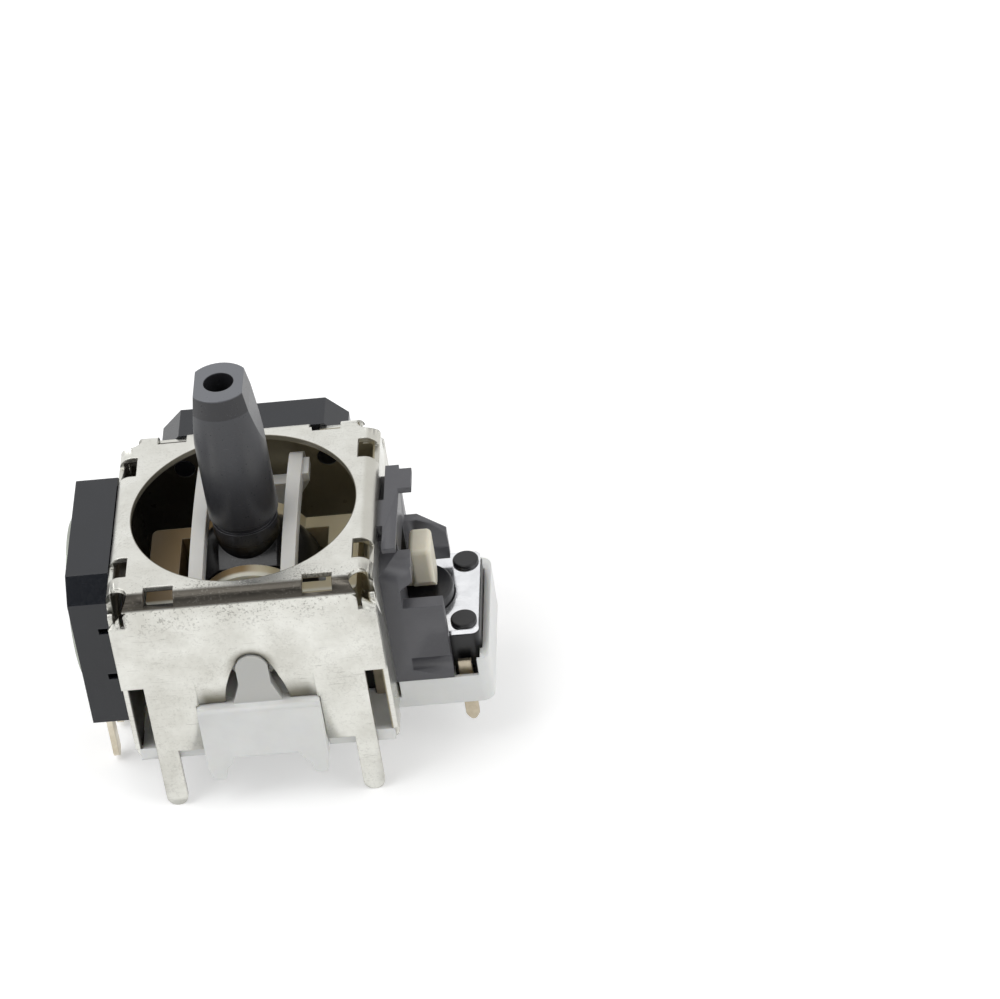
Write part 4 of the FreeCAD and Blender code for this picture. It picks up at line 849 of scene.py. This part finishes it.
@dataclass
class MouldedBase:
    """White base, with the block in the front plate, its finger and prongs, and the switch's tray."""

    cover: CoverSizes = CoverSizes()
    node: str = "base"
    body: str = "module"
    block_half: float = 3.00
    block_front: float = -6.95
    block_back: float = -5.95
    block_bottom: float = 0.62
    block_top: float = 3.67
    prong_back: float = -6.25
    finger_half: float = 0.79
    finger_foot: float = 1.22
    finger_waist: Point = (0.93, 4.45)
    finger_flare_z: float = 4.85
    finger_skin: float = 0.15
    axle_bore: float = 0.83
    beyond: float = 0.30
    pocket: tuple[Span, Span, Span] = ((9.35, 10.70), (3.00, 3.72), (1.30, 4.50))
    prong: Outline = field(default_factory=lambda: [
        (3.00, 0.72), (3.00, 0.10), (2.88, -0.56), (2.78, -0.74), (2.28, -0.74), (2.17, -0.62),
        (2.10, -0.15), (1.80, 0.15), (1.62, 0.62), (1.62, 0.72)])

    def finish(self) -> MouldedPlastic:
        """White plastic, greyer on the finger."""
        finger = Zone(Axis.Z, self.block_top + 0.03, 7.0, tone(198, 198, 194), soft=0.04)
        return MouldedPlastic("white_moulding", tone(235, 236, 234), tone(240, 241, 240), roughness=0.40,
                              mottle=0.03, grain=0.2, glow=0.15, zones=(finger,))

    def build(self, shop: Workshop, effects: Effects) -> None:
        """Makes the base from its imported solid, with its finger, raised block and tapered prongs."""
        piece = shop.copy_of(self.node)
        far = self.block_front - self.beyond
        wide = self.block_half + 0.02
        shop.combine(piece, Joining.CUT,
                     shop.block((-wide, wide), (far, self.block_back), (-2.0, self.block_bottom)),
                     shop.block((-2.0, 2.0), (far, self.block_back + self.beyond), (self.block_top, 7.2)))
        face = -self.cover.half
        root = (self.finger_foot, self.block_top)
        right = [(self.finger_foot, self.block_top - self.beyond), root]
        right += bow(root, self.finger_waist, (self.finger_half, self.finger_flare_z), 6)
        outline = right + round_top((0.0, self.cover.arch_z), self.finger_half) + mirrored(right[::-1], -1)
        finger = shop.prism(outline, Axis.Y, face, self.block_back)
        bore = shop.rod((0, face + self.finger_skin, self.cover.arch_z), Axis.Y, self.axle_bore, 1.0)
        shop.combine(finger, Joining.CUT, bore)
        shop.combine(piece, Joining.FUSE, finger)
        for side in (-1, 1):
            shop.combine(piece, Joining.FUSE, shop.prism(mirrored(self.prong, side), Axis.Y, self.block_front,
                                                         self.prong_back))
        for side in (-1, 1):
            pocket = shop.block(self.pocket[0], span(side, *self.pocket[1]), self.pocket[2])
            shop.combine(piece, Joining.CUT, pocket)
        white = self.finish().build(effects)
        shop.deliver(piece, "moulded_base", self.body, "white_moulding", white, self.node)


@dataclass
class SlottedArch:
    """Gently curved arch over the lever, with its closed slot, small ear, axle and tongue."""

    node: str = "upper_arm"
    body: str = "upper_arm"
    axis_z: float = 5.79
    rail_outer: float = 2.60
    slot_half: float = 1.91
    slot_front: float = 5.0
    slot_sill: float = 2.10
    leg_outer: float = 5.75
    leg_inner: float = 5.0
    crown: float = 4.30
    underside: float = 3.50
    shoulder: Point = (4.85, 3.95)
    turn: Point = (5.50, 3.62)
    leg_top: float = 3.0
    under_shoulder: Point = (4.55, 3.12)
    foot: float = 1.20
    knee: Point = (2.60, 2.0)
    axle_radius: float = 0.78
    axle_end: float = 6.30
    tongue_half: float = 0.45
    tongue_height: float = 0.80
    tongue_end: float = 7.20
    ear: tuple[Span, Span, Span] = ((2.45, 2.92), (3.45, 4.72), (3.35, 3.86))
    edge: float = 0.20
    finish: MouldedPlastic = MouldedPlastic("arch_milk", tone(196, 195, 191), tone(214, 213, 210),
                                            roughness=0.42, mottle=0.03, glow=0.35)

    def build(self, shop: Workshop, effects: Effects) -> None:
        """Models the arch."""
        side = bow((self.leg_outer, self.leg_top), self.turn, self.shoulder, 8)
        outer = [(self.leg_outer, 0.0), (self.leg_outer, self.leg_top)] + side
        outer += bow(self.shoulder, (0.0, self.crown), (-self.shoulder[0], self.shoulder[1]), 24)
        outer += mirrored([(self.leg_outer, 0.0), (self.leg_outer, self.leg_top)] + side[:-1], -1)[::-1]
        left_under = (-self.under_shoulder[0], self.under_shoulder[1])
        leg_turn = self.under_shoulder[1] - 0.4
        inner = [(self.leg_inner, -1.0), (self.leg_inner, leg_turn), self.under_shoulder]
        inner += bow(self.under_shoulder, (0.0, self.underside), left_under, 24)
        inner += [(-self.leg_inner, leg_turn), (-self.leg_inner, -1.0)]
        wide = self.rail_outer
        piece = shop.prism(self._raised(outer), Axis.X, -wide, wide)
        shop.combine(piece, Joining.CUT, shop.prism(self._raised(inner), Axis.X, -wide - 1, wide + 1))
        front_view = self._raised([(-self.foot, -0.1), (self.foot, -0.1), self.knee, (wide + 0.1, 5.0),
                                   (-wide - 0.1, 5.0), (-self.knee[0], self.knee[1])])
        shop.combine(piece, Joining.KEEP, shop.prism(front_view, Axis.Y, -7.0, 7.0))
        tall = (self.axis_z + self.leg_top, self.axis_z + 6.0)
        slot = shop.block((-self.slot_half, self.slot_half), (-self.slot_front, self.leg_outer + 0.5), tall)
        sill = shop.block((-self.slot_half, self.slot_half), (self.leg_inner - 0.6, self.leg_outer + 0.5),
                          (self.axis_z + self.slot_sill, self.axis_z + 6.0))
        shop.combine(piece, Joining.CUT, slot, sill)
        ear_x, ear_y, ear_h = self.ear
        ear = shop.block(ear_x, ear_y, tuple(self.axis_z + height for height in ear_h))
        shop.combine(piece, Joining.FUSE, ear)
        shop.soften(piece, self.edge)
        feet = [shop.rod((0, y, self.axis_z), Axis.Y, self.foot, self.leg_outer - self.leg_inner)
                for y in (-self.leg_outer, self.leg_inner)]
        axle = shop.rod((0, -self.axle_end, self.axis_z), Axis.Y, self.axle_radius,
                        self.axle_end - self.leg_inner - 0.1)
        tongue = shop.block((-self.tongue_half, self.tongue_half), (self.leg_inner + 0.1, self.tongue_end),
                            (self.axis_z - self.tongue_height, self.axis_z + self.tongue_height))
        shop.combine(piece, Joining.FUSE, *feet, axle, tongue)
        shop.deliver(piece, "slotted_arch", self.body, "arch_white", self.finish.build(effects), self.node)

    def _raised(self, outline: Outline) -> Outline:
        """The outline lifted from the tilt axis to its height above the board."""
        return [(a, b + self.axis_z) for a, b in outline]


@dataclass
class SideHolder:
    """Dark bracket between the cover and the switch, with a groove along the cover's wall."""

    node: str = "side_holder"
    body: str = "module"
    groove_x: Span = (6.40, 6.80)
    groove_spans: tuple[Span, ...] = ((-3.40, -1.54), (0.46, 3.20))
    groove_floor: float = 9.30
    above: float = 10.50
    finish: MouldedPlastic = MouldedPlastic("holder_grey", tone(80, 80, 84), tone(110, 110, 116),
                                            roughness=0.36, mottle=0.06, scratch=0.15)

    def build(self, shop: Workshop, effects: Effects) -> None:
        """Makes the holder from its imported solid, with the groove."""
        piece = shop.copy_of(self.node)
        tall = (self.groove_floor, self.above)
        for stretch in self.groove_spans:
            shop.combine(piece, Joining.CUT, shop.block(self.groove_x, stretch, tall))
        shop.deliver(piece, "grooved_holder", self.body, "holder_grey", self.finish.build(effects), self.node)


@dataclass
class Sensor:
    """One of the two position sensors."""

    side: Side
    case: MouldedPlastic = MouldedPlastic("sensor_black", tone(22, 25, 31), tone(58, 62, 72),
                                          roughness=0.22, mottle=0.10, scratch=0.12)
    cap: BareMetal = BareMetal("sensor_cap", tone(176, 180, 172), tone(150, 153, 144), roughness=0.34)
    pins: BareMetal = BareMetal("tinned_pin", tone(222, 216, 200), tone(182, 168, 140), roughness=0.34)
    rotor: MouldedPlastic = MouldedPlastic("rotor_white", tone(206, 206, 200), tone(222, 222, 218), glow=0.2)
    wiper: BareMetal = BareMetal("contact_brass", tone(214, 186, 122), tone(170, 138, 84))
    track: MouldedPlastic = MouldedPlastic("carbon_track", tone(42, 38, 36), tone(60, 56, 52), roughness=0.6)

    def dress(self, frame: dict, effects: Effects, made: dict[str, Material]) -> None:
        """Gives each of the sensor's pieces its finish.

        Args:
            frame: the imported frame.
            effects: the shared effects.
            made: finishes already built, which the second sensor uses again.
        """
        for part, look in (("housing", self.case), ("cap", self.cap), ("rotor", self.rotor),
                           ("wiper", self.wiper), ("track", self.track), ("pin_1", self.pins),
                           ("pin_2", self.pins), ("pin_3", self.pins)):
            if look.name not in made:
                made[look.name] = look.build(effects)
            dress(frame, made[look.name], f"{self.side.value}_pot_{part}")


@dataclass
class PushSwitch:
    """Square push switch in the base's tray."""

    case: MouldedPlastic = MouldedPlastic("switch_black", tone(18, 18, 20), tone(48, 48, 52), roughness=0.34)
    button: MouldedPlastic = MouldedPlastic("button_black", tone(26, 26, 29), tone(60, 60, 64),
                                            roughness=0.30)
    plate: BareMetal = BareMetal("switch_plate", tone(240, 241, 243), tone(214, 215, 218), roughness=0.14)
    pins: BareMetal = BareMetal("switch_pin_tin", tone(206, 196, 176), tone(150, 136, 112), roughness=0.36)
    dome: BareMetal = BareMetal("dome_brass", tone(214, 186, 122), tone(170, 138, 84))
    body: str = "module"
    centre_x: float = 7.80
    pin_reach: float = 2.10
    pin_half: float = 0.34
    pin_y: Span = (3.24, 3.50)
    pin_top: float = 2.60
    pin_shoulder: float = -0.80
    pin_tip: float = -1.20

    def _pins(self, shop: Workshop, effects: Effects) -> None:
        """Models the four flat pins with their rounded tips."""
        piece = None
        for side in (-1, 1):
            for end in (-1, 1):
                middle = self.centre_x + side * self.pin_reach
                left = (middle - self.pin_half, self.pin_shoulder)
                right = (middle + self.pin_half, self.pin_shoulder)
                outline = [right, (right[0], self.pin_top), (left[0], self.pin_top), left]
                outline += bow(left, (middle, self.pin_tip), right, 10)[:-1]
                pin = shop.prism(outline, Axis.Y, *span(end, *self.pin_y))
                shop.soften(pin, 0.03, 1)
                piece = pin if piece is None else shop.combine(piece, Joining.FUSE, pin)
        shop.deliver(piece, "tall_switch_pins", self.body, "tin_pin", self.pins.build(effects),
                     *[f"switch_pin_{i}" for i in range(1, 5)])

    def build(self, shop: Workshop, effects: Effects) -> None:
        """Makes the pins and gives the switch its finishes."""
        self._pins(shop, effects)
        frame = shop.frame
        dress(frame, self.case.build(effects), "switch_body")
        dress(frame, self.button.build(effects), "switch_button")
        dress(frame, self.plate.build(effects), "switch_cover")
        dress(frame, self.dome.build(effects), "switch_dome")


@dataclass
class Gimbal:
    """The lever and the lower arm that carries it."""

    lever: MouldedPlastic = MouldedPlastic(
        "lever_grey", tone(62, 63, 67), tone(112, 113, 118), roughness=0.30, mottle=0.05, scratch=0.3,
        zones=(Zone(Axis.Z, 17.35, 18.34, tone(44, 44, 47), soft=0.03),
               # Painted light and shade: the top face is painted lighter, as lit from above; the shaft is
               # painted darker towards its foot, and near black deep in the cover's opening.
               Zone(Axis.Z, 18.38, 19.5, tone(108, 110, 115), soft=0.02),
               Zone(Axis.Z, -5.0, 12.5, tone(40, 40, 43), soft=2.5),
               Zone(Axis.Z, -5.0, 9.6, tone(16, 16, 18), soft=0.3)))
    arm: MouldedPlastic = MouldedPlastic(
        "arm_beige", tone(234, 230, 214), tone(238, 234, 220), roughness=0.38, mottle=0.05, glow=0.25,
        # Painted shade: the arm is painted brown inside the cover, darker on the left half than on the right;
        # its front end is painted lighter again where light comes in.
        zones=(Zone(Axis.X, -7.5, 0.5, tone(134, 112, 78), soft=0.8),
               Zone(Axis.X, 0.5, 7.2, tone(196, 184, 152), soft=0.8),
               Zone(Axis.Y, -6.0, -2.6, tone(222, 221, 208), soft=0.12, share=0.85),
               Zone(Axis.X, 7.3, 9.5, tone(200, 182, 142), soft=0.2, share=0.18)))

    def dress(self, frame: dict, effects: Effects) -> None:
        """Gives the lever and the lower arm their plastics."""
        dress(frame, self.lever.build(effects), "lever")
        dress(frame, self.arm.build(effects), "lower_arm")


@dataclass
class ReturnMechanism:
    """Disc and spring that bring the lever back."""

    disc: MouldedPlastic = MouldedPlastic("disc_white", tone(214, 214, 210), tone(226, 226, 222), glow=0.2)
    wire: BareMetal = BareMetal("spring_steel", tone(190, 190, 194), tone(150, 148, 146), roughness=0.3)

    def dress(self, frame: dict, effects: Effects) -> None:
        """Gives the disc and the spring their finishes."""
        dress(frame, self.disc.build(effects), "return_disc")
        dress(frame, self.wire.build(effects), "return_spring")


@dataclass
class Studio:
    """Pale floor, soft lamps and the camera at the photograph's place."""

    azimuth: float = 6.71
    elevation: float = 38.83
    roll: float = -9.2
    distance: float = 280.59
    focal_pixels: float = 5683.65
    frame_pixels: float = 1000.0
    aim_height: float = 4.65
    aim_right: float = 11.77
    aim_up: float = 4.97
    sensor: float = 36.0
    clip: Span = (10.0, 5000.0)
    floor_half: float = 900.0
    floor_grey: float = 0.80
    floor_glow: float = 0.35
    room_light: float = 0.68
    room_glow: float = 0.32
    card_size: float = 330.0
    card_distance: float = 420.0
    card_grey: float = 0.02
    lamps: list[tuple[str, Vector, float, float]] = field(default_factory=lambda: [
        ("key_lamp", Vector((-170, -40, 320)), 260, 0.42),
        ("fill_lamp", Vector((280, -120, 220)), 220, 0.16),
    ])

    def build(self) -> None:
        """Sets the stage round the module."""
        self._colour_management()
        self._floor()
        self._world()
        for name, place, size, power in self.lamps:
            self._lamp(name, place, size, power)
        self._dark_card()
        self._camera()

    @staticmethod
    def _colour_management() -> None:
        """Chooses the plain view transform."""
        bpy.context.scene.view_settings.view_transform = "Standard"

    def _axes(self) -> tuple[Vector, Vector, Vector]:
        """Camera's right, up and backward directions."""
        az, el, roll = (math.radians(angle) for angle in (self.azimuth, self.elevation, self.roll))
        back = Vector((math.sin(az) * math.cos(el), -math.cos(az) * math.cos(el), math.sin(el)))
        level = Vector((math.cos(az), math.sin(az), 0.0))
        rise = back.cross(level)
        right = math.cos(roll) * level + math.sin(roll) * rise
        up = math.cos(roll) * rise - math.sin(roll) * level
        return right, up, back

    def _camera(self) -> None:
        """Places the camera."""
        right, up, back = self._axes()
        target = Vector((0, 0, self.aim_height)) + right * self.aim_right + up * self.aim_up
        data = bpy.data.cameras.new("portrait_camera")
        data.sensor_width = self.sensor
        data.lens = self.focal_pixels * self.sensor / self.frame_pixels
        data.clip_start, data.clip_end = (reach * MM for reach in self.clip)
        camera = bpy.data.objects.new("portrait_camera", data)
        bpy.context.scene.collection.objects.link(camera)
        turn = Matrix((right, up, back)).transposed().to_4x4()
        camera.matrix_world = Matrix.Translation((target + back * self.distance) * MM) @ turn
        bpy.context.scene.camera = camera

    def _floor(self) -> None:
        """Lays the floor under the legs' tips."""
        low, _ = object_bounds()
        floor, material = self._sheet("studio_floor", 2 * self.floor_half, Vector((0, 0, low[2])))
        wiring = blank(material)
        diffuse = wiring.add("ShaderNodeBsdfDiffuse", {"Color": (self.floor_grey,) * 3})
        seen = self._seen(wiring)
        glow = wiring.add("ShaderNodeEmission", {"Color": (1.0, 1.0, 1.0),
                                                 "Strength": wiring.times(seen, self.floor_glow)})
        both = wiring.add("ShaderNodeAddShader", {0: diffuse.outputs[0], 1: glow.outputs[0]})
        out = wiring.add("ShaderNodeOutputMaterial")
        wiring.feed(out.inputs["Surface"], both.outputs[0])
        floor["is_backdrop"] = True

    @staticmethod
    def _sheet(name: str, size: float, place: Vector) -> tuple[Solid, Material]:
        """Adds a square plane with its side in millimetres and its place in metres, and a material."""
        bpy.ops.object.select_all(action="DESELECT")
        bpy.ops.mesh.primitive_plane_add(size=size * MM, location=place)
        sheet = bpy.context.active_object
        sheet.name = name
        material = bpy.data.materials.new(name)
        material.use_nodes = True
        sheet.data.materials.append(material)
        return sheet, material

    @staticmethod
    def _seen(wiring: Wiring) -> Socket:
        """1 for rays from the camera and for those mirrored or let through by a surface."""
        ray = wiring.add("ShaderNodeLightPath")
        seen = wiring.math("MAXIMUM", ray.outputs["Is Camera Ray"], ray.outputs["Is Glossy Ray"])
        return wiring.math("MAXIMUM", seen, ray.outputs["Is Transmission Ray"])

    def _world(self) -> None:
        """Gives the room a plain pale light, white to the camera and in the metal."""
        world = bpy.data.worlds.new("studio_world")
        wiring = blank(world)
        strength = wiring.line(self._seen(wiring), self.room_glow, self.room_light)
        light = wiring.add("ShaderNodeBackground", {"Color": (1.0, 1.0, 1.0), "Strength": strength})
        out = wiring.add("ShaderNodeOutputWorld")
        wiring.feed(out.inputs["Surface"], light.outputs[0])
        bpy.context.scene.world = world

    @staticmethod
    def _lamp(name: str, place: Vector, size: float, power: float) -> None:
        """Adds a square soft lamp that faces the module.

        Args:
            name: name of the lamp.
            place: its place in millimetres.
            size: its side in millimetres.
            power: light that it gives at the module, where 1 is a plain level.
        """
        data = bpy.data.lights.new(name, "AREA")
        data.size = size * MM
        distance = place.length * MM
        data.energy = power * math.pi * math.pi * distance * distance
        lamp = bpy.data.objects.new(name, data)
        lamp.location = place * MM
        lamp.rotation_mode = "QUATERNION"
        lamp.rotation_quaternion = place.to_track_quat("Z", "Y")
        bpy.context.scene.collection.objects.link(lamp)

    def _dark_card(self) -> None:
        """Hangs a dark card behind the camera, which gives the bends their dark line."""
        _, _, back = self._axes()
        card, material = self._sheet("dark_card", self.card_size, back * self.card_distance * MM)
        card.rotation_mode = "QUATERNION"
        card.rotation_quaternion = back.to_track_quat("Z", "Y")
        shader = material.node_tree.nodes["Principled BSDF"]
        shader.inputs["Base Color"].default_value = (*(self.card_grey,) * 3, 1.0)
        shader.inputs["Roughness"].default_value = 1.0
        card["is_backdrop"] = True


def main() -> None:
    """Builds and dresses the module, then the studio."""
    logging.basicConfig(level=logging.INFO, format="%(name)s: %(message)s")
    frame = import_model()
    effects = Effects()
    made: dict[str, Material] = {}
    shop = Workshop(frame)
    FoldedCover().build(shop, effects)
    MouldedBase().build(shop, effects)
    SlottedArch().build(shop, effects)
    SideHolder().build(shop, effects)
    for side in Side:
        Sensor(side).dress(frame, effects, made)
    PushSwitch().build(shop, effects)
    Gimbal().dress(frame, effects)
    ReturnMechanism().dress(frame, effects)
    Studio().build()


if __name__ == "__main__":
    main()
